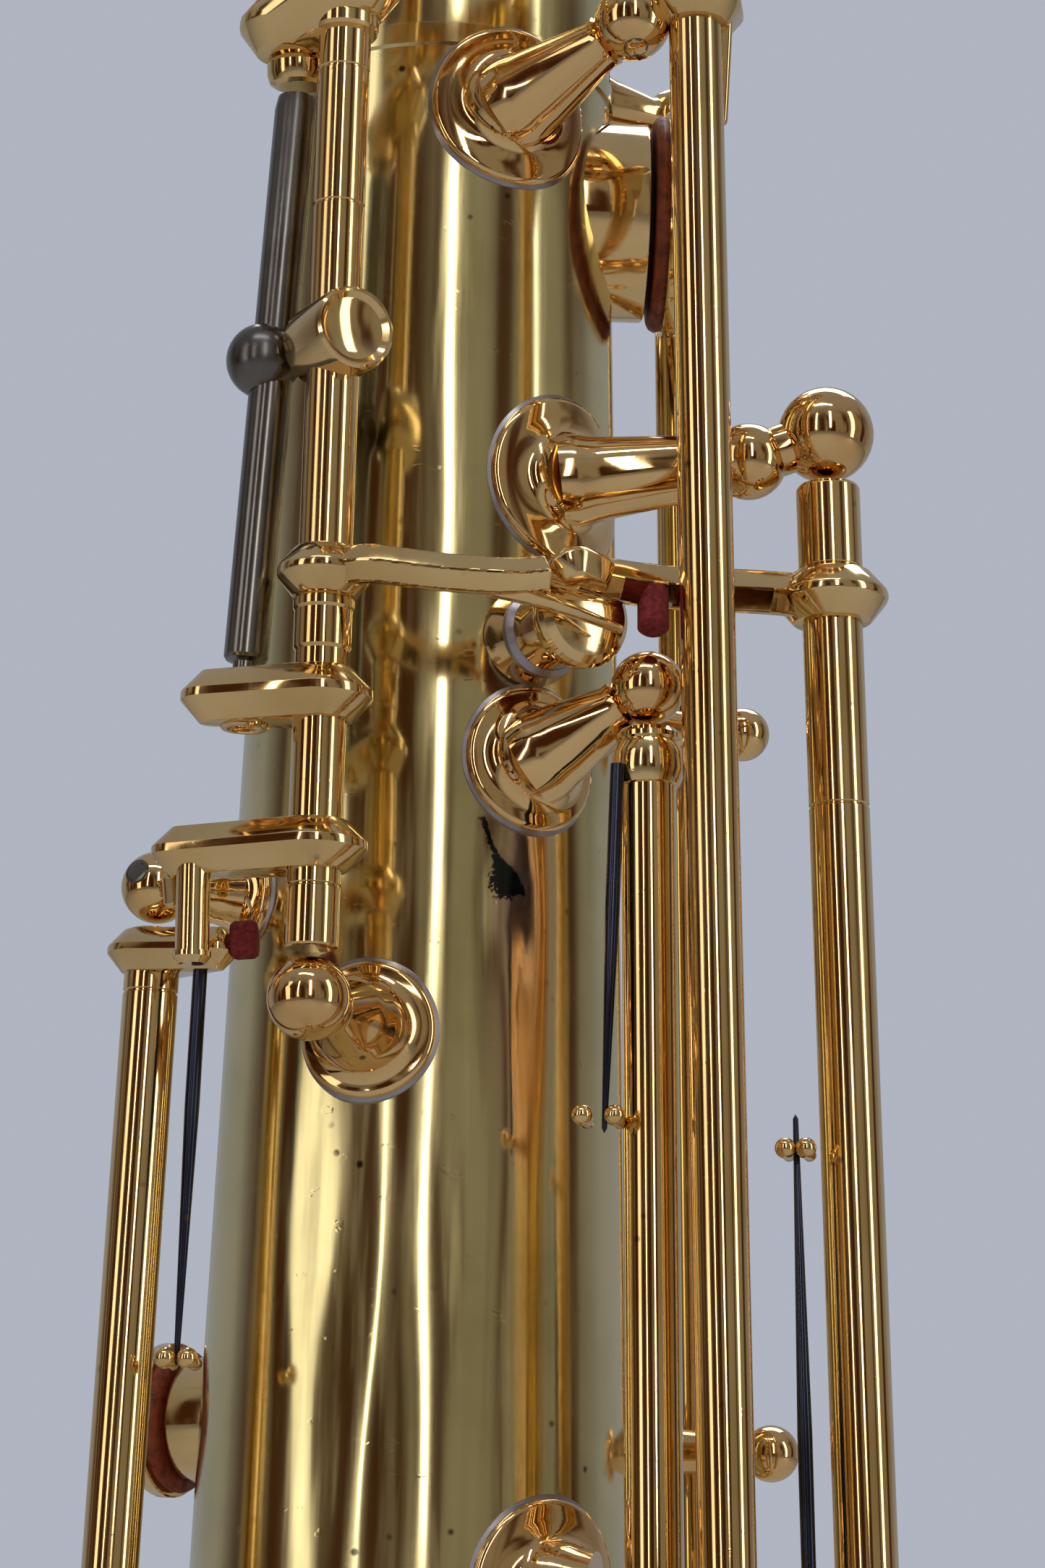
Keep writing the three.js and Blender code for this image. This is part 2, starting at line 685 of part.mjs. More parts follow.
const LIGATURE_LOW = 656;
const LIGATURE_HIGH = 674;
function ligatureSolid() {
  const bandRing = turnedRing([
    [10.75, LIGATURE_LOW],
    [11.55, LIGATURE_LOW],
    [11.55, LIGATURE_HIGH],
    [10.75, LIGATURE_HIGH],
  ], 36);
  const lugs = [-1, 1].map((side) => bar(
    v(side * 1.6, -10.9, LIGATURE_LOW + 1), v(side * 1.6, -10.9, LIGATURE_HIGH - 1),
    5, 1.4, v(0, 1, 0)));
  const slot = new THREE.BoxGeometry(1.6, 8, 30);
  slot.translate(0, -12.4, (LIGATURE_LOW + LIGATURE_HIGH) / 2);
  const shifted = lugs.map((lug) => lug.translate([0, -1.6, 0]));
  return join([bandRing, ...shifted]).subtract(toSolid(slot))
    .subtract(rod(v(0, 0, 640), v(0, 0, 690), 10.75, 10.75, 36));
}

function ligatureScrew(z) {
  const y = -17.0;
  return join([
    rod(v(-1.2, y, z), v(7.5, y, z), 1.1, 1.1, 10),
    rod(v(7.4, y, z), v(9.4, y, z), 2.6, 2.3, 14),
    rod(v(-3.2, y, z), v(-1.1, y, z), 1.7, 1.7, 10),
  ]);
}

// --------------------------------------------------------------- assembly

const COLOURS = {
  lacquer: { color: 0xb98a3e, metalness: 1, roughness: 0.24 },
  rose: { color: 0xc08452, metalness: 1, roughness: 0.28 },
  steel: { color: 0x54565c, metalness: 1, roughness: 0.3 },
  pearl: { color: 0xe9e6dc, metalness: 0, roughness: 0.25 },
  ebonite: { color: 0x141416, metalness: 0, roughness: 0.3 },
  cane: { color: 0xd8c07c, metalness: 0, roughness: 0.7 },
  cork: { color: 0xb98b5c, metalness: 0, roughness: 0.9 },
};

const part = new THREE.Group();
part.name = 'soprano_saxophone';

function place(name, solid, look, hinge = null) {
  const mesh = new THREE.Mesh(toGeometry(solid), new THREE.MeshStandardMaterial(COLOURS[look]));
  mesh.name = name;
  if (hinge) {
    mesh.userData.hinge = hinge.map((p) => p.toArray());
  }
  part.add(mesh);
}

place('body_tube', bodySolid(), 'lacquer');
place('bell', bellSolid(), 'lacquer');
place('bell_rim', rimSolid(), 'lacquer');
place('bell_ring', bandSolid(84, 91.5, 2.2), 'rose');
place('neck_ring', bandSolid(618, 623, 1.8, 24), 'rose');
place('neck_cork', turnedRing([
  [coneRadius(CORK_BOTTOM) + 0.2, CORK_BOTTOM],
  [CORK_RADIUS, CORK_BOTTOM],
  [CORK_RADIUS, CORK_TOP],
  [coneRadius(CORK_BOTTOM) + 0.2, CORK_TOP],
], 28), 'cork');
place('mouthpiece', mouthpieceSolid(), 'ebonite');
place('reed', reedSolid(), 'cane');
place('ligature', ligatureSolid(), 'lacquer');
place('ligature_screw_low', ligatureScrew(LIGATURE_LOW + 5), 'lacquer');
place('ligature_screw_high', ligatureScrew(LIGATURE_HIGH - 5), 'lacquer');

place('post_carriage', freePost(ballsBeyond(carriage, 2.55)[0], 256, 411.4, 4.1, 2.55), 'rose');
place('post_side_b_flat', freePost(ballsBeyond(sideB)[1], 303, 428.4, 4.4, 2.3), 'rose');
place('post_vent', freePost(VENT_POST_BALL, 315, 446.6, 5.3, 2.4, [
  rod(VENT_POST_BALL, ballsBeyond(vent, 3)[1], 1.6, 1.6, 10),
  ball(ballsBeyond(vent, 3)[1], 3, 10),
]), 'rose');
place('post_lever', freePost(v(11.8, -15, 474.6), 294, 471, 5.2, 2.4), 'rose');
place('post_link', freePost(ballsBeyond(link)[1], 206, 420.5, 3.4, 2.3), 'rose');
place('rod_saddle', saddle(), 'rose');
place('strap_ring', strapRing(), 'rose');
place('thumb_hook', thumbHook(), 'lacquer');
place('thumb_rest', thumbRest(), 'lacquer');
place('guard_low_b', guard(130, 95.2, 146.2, 13.6), 'lacquer');

frontKeys.forEach((key) => place(key.name, keySolid(key), 'lacquer', key.hinge));
sideKeys.forEach((key) => place(key.name, keySolid(key), 'lacquer', key.hinge));

place('octave_carriage', carriageSolid(), 'lacquer', carriage);
place('octave_rocker', rockerSolid(), 'steel', [ROCKER_LOW, ROCKER_HIGH]);
place('octave_vent_key', ventKeySolid(), 'lacquer', vent);
place('octave_lever', leverSolid(), 'lacquer', lever);
place('g_link', linkSolid(), 'lacquer', link);
const neckPin = at(270, NECK_ABOVE, NECK_PIN_Z);
place('neck_octave_key', neckKeySolid(), 'lacquer', [
  v(-3, neckPin.y, neckPin.z),
  v(3, neckPin.y, neckPin.z),
]);

// Pearls sit on the cups of the keys the fingers rest on.
frontKeys.filter((key) => key.pearl).forEach((key) => {
  const [bearing, z] = key.cup;
  const low = at(bearing, CHIMNEY_HEIGHT + PAD_GAP + CUP_WALL + CUP_CROWN + 0.75, z);
  const high = low.clone().addScaledVector(outward(bearing), 1.5);
  const button = rod(low, high, 3.9, 3.5, 16);
  const open = key.lift * liftSign(key.hinge, key.cup);
  place(`pearl_${key.name.slice(4)}`, swing(button, key.hinge, open), 'pearl');
});

export default part;
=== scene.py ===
# %% [markdown]
# # A straight soprano saxophone
# The horn stands on its bell with the thumb side towards the camera. Each key, post and rod
# is turned, bent or pressed here the way an instrument maker would do it, and rides on the
# moving body that the frame gives it. Lengths are in millimetres until a piece is finished.

# %% Load the frame
import math
import bmesh
import bpy
from mathutils import Matrix, Vector, noise


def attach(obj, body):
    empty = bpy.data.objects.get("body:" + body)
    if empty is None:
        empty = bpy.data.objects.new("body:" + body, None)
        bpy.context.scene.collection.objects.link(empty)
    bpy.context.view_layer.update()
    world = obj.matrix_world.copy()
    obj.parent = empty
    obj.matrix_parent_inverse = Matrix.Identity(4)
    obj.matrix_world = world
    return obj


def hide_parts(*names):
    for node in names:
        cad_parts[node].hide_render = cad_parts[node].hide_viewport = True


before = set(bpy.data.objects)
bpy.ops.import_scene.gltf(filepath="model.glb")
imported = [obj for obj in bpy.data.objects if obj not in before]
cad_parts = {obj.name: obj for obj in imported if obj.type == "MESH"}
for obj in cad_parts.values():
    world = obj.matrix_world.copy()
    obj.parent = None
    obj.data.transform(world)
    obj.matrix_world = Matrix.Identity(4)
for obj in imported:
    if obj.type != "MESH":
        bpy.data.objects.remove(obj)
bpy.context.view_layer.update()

# %% [markdown]
# ## Places on the cone
# The body is one long cone, so a place on it is a bearing round it, a height above the skin
# and a height up the horn. Every other helper uses this one rule.

# %% Places on the cone
UP = Vector((0, 0, 1))


def V(x, y, z):
    return Vector((x, y, z))


def cone_radius(z):
    return 12 + 0.0262 * (429 - z)


def outward(bearing):
    return V(math.cos(math.radians(bearing)), math.sin(math.radians(bearing)), 0)


def at(bearing, above, z):
    return outward(bearing) * (cone_radius(z) + above) + UP * z


def along_line(a, b, z):
    return a.lerp(b, (z - a.z) / (b.z - a.z))


print("body is", round(2 * cone_radius(429), 1), "mm thick at the octave vent")

# %% [markdown]
# ## Turned pieces
# Tubes, balls, cups and posts come off a lathe, so a short chain of points is spun a full
# turn about its own axis. Spinning keeps the rings even, which matters on mirror brass:
# a boolean would leave long thin faces that break up the reflections.

# %% Turned pieces
def turned(a, b, profile, sides=40):
    """Spins (distance from a, radius) pairs about the line from a to b."""
    bm = bmesh.new()
    axis = (b - a).normalized()
    side = axis.orthogonal().normalized()
    chain = [bm.verts.new(a + axis * d + side * r) for d, r in profile]
    links = [bm.edges.new(pair) for pair in zip(chain, chain[1:])]
    bmesh.ops.spin(bm, geom=chain + links, cent=a, axis=axis, angle=math.tau, steps=sides,
                   use_merge=True)
    bmesh.ops.remove_doubles(bm, verts=bm.verts, dist=1e-4)
    bmesh.ops.recalc_face_normals(bm, faces=bm.faces)
    return bm


def arc(centre, radius, start, end, steps):
    """Profile points on a circle: centre is (distance, radius), angles in degrees."""
    turns = [math.radians(start + (end - start) * i / steps) for i in range(steps + 1)]
    return [(centre[0] - radius * math.cos(t), max(0, centre[1] + radius * math.sin(t)))
            for t in turns]


def tube(a, b, radius, edge=0.18, rings=(), sides=36):
    """A closed round bar with softened ends; rings are joint lines cut into it."""
    length = (b - a).length
    profile = [(0, 0), (0, radius - edge), (edge * 0.3, radius - edge * 0.3), (edge, radius)]
    for ring in sorted(rings):
        profile += [(ring - 0.12, radius), (ring - 0.04, radius - 0.08),
                    (ring + 0.04, radius - 0.08), (ring + 0.12, radius)]
    profile += [(length - edge, radius), (length - edge * 0.3, radius - edge * 0.3),
                (length, radius - edge), (length, 0)]
    return turned(a, b, profile, sides)


def globe(centre, radius, axis=UP, sides=36):
    return turned(centre - axis * radius, centre + axis * radius,
                  arc((radius, 0), radius, 0, 180, 18), sides)


def collar(a, b, radius, chamfer=0.45, sides=40):
    """A short boss with flat bevels, as the hub of a key arm."""
    length = (b - a).length
    return turned(a, b, [(0, 0), (0, radius - chamfer), (chamfer, radius - 0.05),
                         (chamfer + 0.1, radius), (length - chamfer - 0.1, radius),
                         (length - chamfer, radius - 0.05), (length, radius - chamfer),
                         (length, 0)], sides)


def spun_out(bearing, above, z, profile, sides=40):
    """Turned about a line straight out of the body, from a height above its skin."""
    foot = at(bearing, above, z)
    return turned(foot, foot + outward(bearing), profile, sides)


HINGE_TUBE = 1.65
trial = tube(V(0, 0, 0), V(0, 0, 10), HINGE_TUBE)
print("a plain tube has", len(trial.faces), "faces")
trial.free()

# %% [markdown]
# ## Bent straps and plates
# Key arms are cast or cut from flat stock and filed round at the edges. One rectangle is
# pushed from point to point along a smooth path and then every sharp edge is bevelled, so
# the light runs along it in a thin line.

# %% Bent straps and plates
def smooth_path(points, steps=6):
    """A curve through the points, as a file or a bending jig would leave it."""
    if len(points) < 3:
        return points
    ends = [points[0] * 2 - points[1], *points, points[-1] * 2 - points[-2]]
    out = []
    for p0, p1, p2, p3 in zip(ends, ends[1:], ends[2:], ends[3:]):
        for i in range(steps):
            t = i / steps
            out.append(0.5 * (2 * p1 + (p2 - p0) * t + (2 * p0 - 5 * p1 + 4 * p2 - p3) * t ** 2
                              + (3 * p1 - p0 - 3 * p2 + p3) * t ** 3))
    return out + [points[-1]]


def round_edges(bm, offset, segments=3, angle=28):
    """Bevels each edge where two faces meet at more than the angle."""
    sharp = [e for e in bm.edges if e.is_manifold and e.calc_face_angle(0) > math.radians(angle)]
    bmesh.ops.bevel(bm, geom=sharp, offset=offset, offset_type="OFFSET", segments=segments,
                    profile=0.5, affect="EDGES", material=-1, clamp_overlap=True)


FLAT = ((-1, -1), (1, -1), (1, 1), (-1, 1))
RIDGED = ((-1, -0.35), (0, -1), (1, -0.35), (1, 0.35), (0, 1), (-1, 0.35))


def strap(points, wide, thick, across=UP, end_scale=1.0, edge=0.3, steps=6, section=FLAT):
    """A bar of the given section along a path; end_scale narrows it towards the far end."""
    path = smooth_path(points, steps)
    bm = bmesh.new()
    face = None
    for i, point in enumerate(path):
        ahead = path[min(i + 1, len(path) - 1)] - path[max(i - 1, 0)]
        ahead.normalize()
        side = (across - ahead * across.dot(ahead)).normalized()
        up = ahead.cross(side)
        scale = 1 + (end_scale - 1) * i / (len(path) - 1)
        corners = [point + side * (sx * wide * scale / 2) + up * (sy * thick / 2)
                   for sx, sy in section]
        if face is None:
            face = bm.faces.new([bm.verts.new(c) for c in corners])
            order = list(face.verts)
            continue
        grown = bmesh.ops.extrude_face_region(bm, geom=[face])["geom"]
        face = next(g for g in grown if isinstance(g, bmesh.types.BMFace))
        fresh = [v for v in grown if isinstance(v, bmesh.types.BMVert)]
        pairs = {old: next(e.other_vert(old) for e in old.link_edges
                           if e.other_vert(old) in fresh) for old in order}
        order = [pairs[old] for old in order]
        for vert, corner in zip(order, corners):
            vert.co = corner
    bmesh.ops.recalc_face_normals(bm, faces=bm.faces)
    round_edges(bm, edge)
    return bm


def link_plate(discs, axis, height, bevel=1.0):
    """A flat link filed to a sharp ridge all round; discs are its (centre, radius) ends."""
    rings = []
    for centre, radius in discs:
        low = centre - axis * height / 2
        rings.append(turned(low, centre, [
            (0, 0), (0, radius - bevel), (height * 0.42, radius), (height * 0.58, radius),
            (height, radius - bevel), (height, 0)], 28))
    bm = gather(rings)
    hull = bmesh.ops.convex_hull(bm, input=bm.verts[:])
    spare = set(hull["geom_interior"]) | set(hull["geom_unused"])
    bmesh.ops.delete(bm, geom=[g for g in spare if isinstance(g, bmesh.types.BMVert)], context="VERTS")
    loose = [f for f in bm.faces if f not in hull["geom"] or f in spare]
    bmesh.ops.delete(bm, geom=loose, context="FACES")
    bmesh.ops.dissolve_limit(bm, angle_limit=math.radians(2), verts=bm.verts, edges=bm.edges)
    bmesh.ops.recalc_face_normals(bm, faces=bm.faces)
    round_edges(bm, 0.13, 2, 24)
    return bm


def gather(parts):
    """Puts several shapes into one."""
    whole = bmesh.new()
    for part in parts:
        passing = bpy.data.meshes.new("passing")
        part.to_mesh(passing)
        part.free()
        whole.from_mesh(passing)
        bpy.data.meshes.remove(passing)
    return whole


def plate(bearing, above, z, length, wide, thick=1.7, crown=0.5, lean=0):
    """A finger touch: an oval blank, raised a little in the middle and rounded at the rim."""
    bm = bmesh.new()
    bmesh.ops.create_circle(bm, cap_ends=True, radius=1, segments=40)
    for vert in bm.verts:
        x, y = vert.co.x, vert.co.y
        push = (abs(x) ** 3 + abs(y) ** 3) ** (-1 / 3)
        vert.co = V(x * push * wide / 2, y * push * length / 2, -thick / 2)
    face = bm.faces[:][0]
    for rise, inset in ((thick, 0), (crown * 0.6, wide * 0.16), (crown * 0.4, wide * 0.16)):
        if inset:
            bmesh.ops.inset_region(bm, faces=[face], thickness=inset, use_even_offset=True)
            bmesh.ops.translate(bm, verts=face.verts, vec=V(0, 0, rise))
            continue
        grown = bmesh.ops.extrude_face_region(bm, geom=[face])["geom"]
        face = next(g for g in grown if isinstance(g, bmesh.types.BMFace))
        bmesh.ops.translate(bm, verts=face.verts, vec=V(0, 0, rise))
    bmesh.ops.recalc_face_normals(bm, faces=bm.faces)
    round_edges(bm, 0.4)
    out = outward(bearing)
    across = V(-out.y, out.x, 0)
    place = Matrix((across, UP, out)).transposed().to_4x4()
    place.translation = at(bearing, above, z)
    bmesh.ops.transform(bm, matrix=place @ Matrix.Rotation(math.radians(lean), 4, "Y"), verts=bm.verts)
    return bm


def wrapped(bm, bearing, z):
    """Bends a piece made flat (across, along, height) round the cone of the body."""
    for vert in bm.verts:
        across, along, height = vert.co
        angle = math.radians(bearing) + across / cone_radius(z)
        radius = cone_radius(z + along) + height
        vert.co = V(radius * math.cos(angle), radius * math.sin(angle), z + along)
    bmesh.ops.recalc_face_normals(bm, faces=bm.faces)
    return bm


print("strap, plate and wrap are ready")

# %% [markdown]
# ## Finishing a piece
# The small shapes of one piece are gathered into one mesh, scaled to metres and left at the
# origin. Shading is smooth except across real edges, and the piece rides on its body.

# %% Finishing a piece
def swing(bm, hinge, degrees):
    """Turns a shape about its hinge line."""
    turn = Matrix.Rotation(math.radians(degrees), 4, (hinge[1] - hinge[0]).normalized())
    place = Matrix.Translation(hinge[0]) @ turn @ Matrix.Translation(-hinge[0])
    bmesh.ops.transform(bm, matrix=place, verts=bm.verts)
    return bm


def finished(name, bm, material, body, stands_for=(), sharp=32):
    bmesh.ops.scale(bm, vec=V(0.001, 0.001, 0.001), verts=bm.verts)
    mesh = bpy.data.meshes.new(name)
    bm.to_mesh(mesh)
    bm.free()
    mesh.polygons.foreach_set("use_smooth", [True] * len(mesh.polygons))
    mesh.set_sharp_from_angle(angle=math.radians(sharp))
    mesh.materials.append(material)
    piece = bpy.data.objects.new(name, mesh)
    bpy.context.scene.collection.objects.link(piece)
    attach(piece, body)
    if stands_for:
        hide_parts(*stands_for)
    return piece


print("pieces are finished in metres")

# %% [markdown]
# ## Shared surface effects
# Old lacquered brass is never one colour. Three effects are used by several finishes, so
# each is a node group: cloudy ageing of the lacquer, hair-fine handling scratches, and
# small dark specks where moisture has got under the lacquer.

# %% Shared surface effects
def new_group(name, inputs, outputs):
    group = bpy.data.node_groups.new(name, "ShaderNodeTree")
    for label, kind, value in inputs:
        socket = group.interface.new_socket(name=label, in_out="INPUT", socket_type=kind)
        if value is not None:
            socket.default_value = value
    for label, kind in outputs:
        group.interface.new_socket(name=label, in_out="OUTPUT", socket_type=kind)
    start = group.nodes.new("NodeGroupInput")
    end = group.nodes.new("NodeGroupOutput")
    return group, start, end


def noise_node(tree, vector, scale, detail=4, roughness=0.55):
    node = tree.nodes.new("ShaderNodeTexNoise")
    node.inputs["Detail"].default_value = detail
    node.inputs["Roughness"].default_value = roughness
    if isinstance(scale, (int, float)):
        node.inputs["Scale"].default_value = scale
    else:
        tree.links.new(scale, node.inputs["Scale"])
    tree.links.new(vector, node.inputs["Vector"])
    return node.outputs["Fac"]


def remap(tree, value, low, high, new_low=0.0, new_high=1.0):
    node = tree.nodes.new("ShaderNodeMapRange")
    node.interpolation_type = "SMOOTHSTEP"
    for label, number in (("From Min", low), ("From Max", high), ("To Min", new_low),
                          ("To Max", new_high)):
        node.inputs[label].default_value = number
    tree.links.new(value, node.inputs["Value"])
    return node.outputs["Result"]


def stretched(tree, vector, scale):
    node = tree.nodes.new("ShaderNodeMapping")
    node.inputs["Scale"].default_value = scale
    tree.links.new(vector, node.inputs["Vector"])
    return node.outputs["Vector"]


ageing, g_in, g_out = new_group(
    "lacquer_ageing", [("Vector", "NodeSocketVector", None)],
    [("Cloud", "NodeSocketFloat"), ("Streak", "NodeSocketFloat")])
ageing.links.new(remap(ageing, noise_node(ageing, g_in.outputs["Vector"], 95, 6), 0.38, 0.72),
                 g_out.inputs["Cloud"])
streaks = stretched(ageing, g_in.outputs["Vector"], (1, 1, 0.06))
ageing.links.new(remap(ageing, noise_node(ageing, streaks, 900, 3), 0.35, 0.75),
                 g_out.inputs["Streak"])

scratches, g_in, g_out = new_group(
    "handling_scratches", [("Vector", "NodeSocketVector", None), ("Depth", "NodeSocketFloat", 0.1)],
    [("Normal", "NodeSocketVector"), ("Mask", "NodeSocketFloat")])
fine = noise_node(scratches, stretched(scratches, g_in.outputs["Vector"], (1, 1, 0.03)), 2600, 2)
cross = noise_node(scratches, stretched(scratches, g_in.outputs["Vector"], (0.2, 1, 1)), 1500, 3)
hair = remap(scratches, cross, 0.66, 0.72)
total = scratches.nodes.new("ShaderNodeMath")
total.operation = "MULTIPLY_ADD"
total.inputs[1].default_value = 0.15
scratches.links.new(fine, total.inputs[0])
scratches.links.new(hair, total.inputs[2])
bump = scratches.nodes.new("ShaderNodeBump")
bump.inputs["Distance"].default_value = 0.00003
scratches.links.new(g_in.outputs["Depth"], bump.inputs["Strength"])
scratches.links.new(total.outputs[0], bump.inputs["Height"])
scratches.links.new(bump.outputs["Normal"], g_out.inputs["Normal"])
scratches.links.new(hair, g_out.inputs["Mask"])

specks, g_in, g_out = new_group(
    "tarnish_specks", [("Vector", "NodeSocketVector", None), ("Scale", "NodeSocketFloat", 700)],
    [("Mask", "NodeSocketFloat")])
cells = specks.nodes.new("ShaderNodeTexVoronoi")
specks.links.new(g_in.outputs["Vector"], cells.inputs["Vector"])
specks.links.new(g_in.outputs["Scale"], cells.inputs["Scale"])
dots = remap(specks, cells.outputs["Distance"], 0.06, 0.16, 1, 0)
patches = remap(specks, noise_node(specks, g_in.outputs["Vector"], 180, 3), 0.52, 0.66)
product = specks.nodes.new("ShaderNodeMath")
product.operation = "MULTIPLY"
specks.links.new(dots, product.inputs[0])
specks.links.new(patches, product.inputs[1])
specks.links.new(product.outputs[0], g_out.inputs["Mask"])
print("groups:", [g.name for g in (ageing, scratches, specks)])

# %% [markdown]
# ## Metal finishes
# Yellow lacquered brass covers the body and keys. The posts and balls are the same brass made redder, which
# paints in the orange reflections of brass in brass.
# The colour mixes from clean to aged metal by the cloud mask, roughness follows it, and the
# scratches come in through the normal. The body alone also carries a bruise.

# %% Metal finishes
def new_material(name):
    material = bpy.data.materials.new(name)
    material.use_nodes = True
    tree = material.node_tree
    shader = tree.nodes["Principled BSDF"]
    place = tree.nodes.new("ShaderNodeTexCoord").outputs["Object"]
    return material, tree, shader, place


def placed(tree, group, place, **values):
    node = tree.nodes.new("ShaderNodeGroup")
    node.node_tree = group
    tree.links.new(place, node.inputs["Vector"])
    for label, value in values.items():
        node.inputs[label].default_value = value
    return node


def colour_mix(tree, factor, first, second):
    node = tree.nodes.new("ShaderNodeMix")
    node.data_type = "RGBA"
    for socket, value in ((node.inputs[6], first), (node.inputs[7], second)):
        if isinstance(value, tuple):
            socket.default_value = (*value, 1)
        else:
            tree.links.new(value, socket)
    tree.links.new(factor, node.inputs[0])
    return node.outputs[2]


def polished(name, clean, aged, smooth, dull, depth=0.12, coat=0.35, speck=(0.10, 0.06, 0.03),
             extra=None):
    material, tree, shader, place = new_material(name)
    age = placed(tree, ageing, place)
    marks = placed(tree, scratches, place, Depth=depth)
    dots = placed(tree, specks, place, Scale=520.0)
    colour = colour_mix(tree, age.outputs["Cloud"], clean, aged)
    colour = colour_mix(tree, dots.outputs["Mask"], colour, speck)
    if extra:
        colour = extra(tree, place, colour)
    tree.links.new(colour, shader.inputs["Base Color"])
    tree.links.new(remap(tree, age.outputs["Streak"], 0, 1, smooth, dull), shader.inputs["Roughness"])
    tree.links.new(marks.outputs["Normal"], shader.inputs["Normal"])
    shader.inputs["Metallic"].default_value = 1
    shader.inputs["Coat Weight"].default_value = coat
    shader.inputs["Coat Roughness"].default_value = 0.06
    return material


def calc(tree, operation, first, second=0.0, third=0.0):
    node = tree.nodes.new("ShaderNodeMath")
    node.operation = operation
    for socket, value in zip(node.inputs, (first, second, third)):
        if isinstance(value, (int, float)):
            socket.default_value = value
        else:
            tree.links.new(value, socket)
    return node.outputs[0]


def measured(tree, place, start, direction):
    """Millimetres from a start point along a direction."""
    shift = tree.nodes.new("ShaderNodeVectorMath")
    shift.operation = "SUBTRACT"
    shift.inputs[1].default_value = start
    tree.links.new(place, shift.inputs[0])
    dot = tree.nodes.new("ShaderNodeVectorMath")
    dot.operation = "DOT_PRODUCT"
    dot.inputs[1].default_value = [1000 * d for d in direction]
    tree.links.new(shift.outputs[0], dot.inputs[0])
    return dot.outputs["Value"]


def bruise(tree, place, colour):
    """A knock has bared rosy metal, with a slanting dark tear in the lacquer above it."""
    wobble = noise_node(tree, place, 1100, 4, 0.7)
    fine = noise_node(tree, place, 3600, 3, 0.7)
    across = measured(tree, place, (0.0062, 0, 0.4165), (0.50, 0, 0))
    along = measured(tree, place, (0.0062, 0, 0.4165), (0, 0, 0.075))
    spread = calc(tree, "ADD", calc(tree, "MULTIPLY", across, across), calc(tree, "MULTIPLY", along, along))
    front = remap(tree, measured(tree, place, (0, -0.008, 0), (0, -1, 0)), 0, 1)
    rosy = calc(tree, "MULTIPLY", remap(tree, calc(tree, "ADD", spread, wobble), 0.7, 2.0, 0.8, 0), front)
    colour = colour_mix(tree, rosy, colour, (0.80, 0.52, 0.34))
    down = measured(tree, place, (0.0034, 0, 0.4246), (0.38, 0, -0.925))
    aside = measured(tree, place, (0.0034, 0, 0.4246), (0.925, 0, 0.38))
    ragged = calc(tree, "MULTIPLY_ADD", fine, 1.3, calc(tree, "MULTIPLY_ADD", wobble, 1.1, -1.2))
    bulge = remap(tree, down, 2.0, 4.6, 0.14, 0.85)
    width = calc(tree, "MULTIPLY", bulge, calc(tree, "MULTIPLY_ADD", fine, 1.8, 0.15))
    outside = calc(tree, "SUBTRACT", calc(tree, "ABSOLUTE", calc(tree, "MULTIPLY_ADD", ragged, 0.5, aside)),
                   width)
    length = calc(tree, "MULTIPLY", remap(tree, down, 0, 0.25),
                  remap(tree, calc(tree, "MULTIPLY_ADD", ragged, 1.4, down), 5.0, 5.2, 1, 0))
    length = calc(tree, "MULTIPLY", length, front)
    edge = calc(tree, "MULTIPLY", remap(tree, outside, 0, 0.45, 0.75, 0), length)
    colour = colour_mix(tree, edge, colour, (0.55, 0.33, 0.20))
    tear = calc(tree, "MULTIPLY", remap(tree, outside, -0.05, 0.05, 1, 0), length)
    return colour_mix(tree, tear, colour, (0.020, 0.024, 0.018))


yellow_brass = polished("yellow_brass_lacquer", (0.82, 0.58, 0.27), (0.70, 0.46, 0.18), 0.07, 0.14, 0.06)
body_brass = polished("body_brass_lacquer", (0.74, 0.62, 0.31), (0.60, 0.50, 0.23), 0.11, 0.21,
                      depth=0.12, extra=bruise)
red_brass = polished("red_brass_lacquer", (0.84, 0.54, 0.27), (0.70, 0.40, 0.17), 0.10, 0.2)
# The posts' brass is the key brass tinted redder: the extra red is painted reflection, the orange that
# brass throws on brass.
post_brass_with_painted_reflection = polished("post_brass_lacquer_painted_reflection", (0.83, 0.56, 0.25), (0.70, 0.41, 0.16), 0.05, 0.11, 0.05)
dark_steel = polished("dark_steel", (0.20, 0.185, 0.17), (0.11, 0.10, 0.095), 0.2, 0.32, 0.05, 0.1)
blued_steel = polished("blued_spring_steel", (0.045, 0.05, 0.085), (0.02, 0.022, 0.035), 0.2, 0.32,
                       0.1, 0.1)
grey_solder = polished("grey_solder", (0.40, 0.37, 0.40), (0.27, 0.24, 0.25), 0.3, 0.5, 0.4, 0)


def lacquered(name, bm, nodes, body="horn", sharp=32):
    """A piece of yellow brass that takes the place of its CAD nodes."""
    return finished(name, bm, yellow_brass, body, nodes, sharp)


print("metals are mixed")

# %% [markdown]
# ## Soft and dull finishes
# Pads are thin leather over felt, pearls are cut shell, the mouthpiece is polished hard
# rubber, the reed is cane and the neck is wound with cork. Each gets its own grain.

# %% Soft and dull finishes
def grained(name, light, dark, scale, stretch, rough, bump_depth, coat=0.0):
    material, tree, shader, place = new_material(name)
    grain = noise_node(tree, stretched(tree, place, stretch), scale, 6, 0.6)
    mask = remap(tree, grain, 0.35, 0.68)
    tree.links.new(colour_mix(tree, mask, light, dark), shader.inputs["Base Color"])
    tree.links.new(remap(tree, grain, 0.3, 0.7, rough[0], rough[1]), shader.inputs["Roughness"])
    bump = tree.nodes.new("ShaderNodeBump")
    bump.inputs["Distance"].default_value = bump_depth
    bump.inputs["Strength"].default_value = 0.6
    tree.links.new(grain, bump.inputs["Height"])
    tree.links.new(bump.outputs["Normal"], shader.inputs["Normal"])
    shader.inputs["Coat Weight"].default_value = coat
    return material


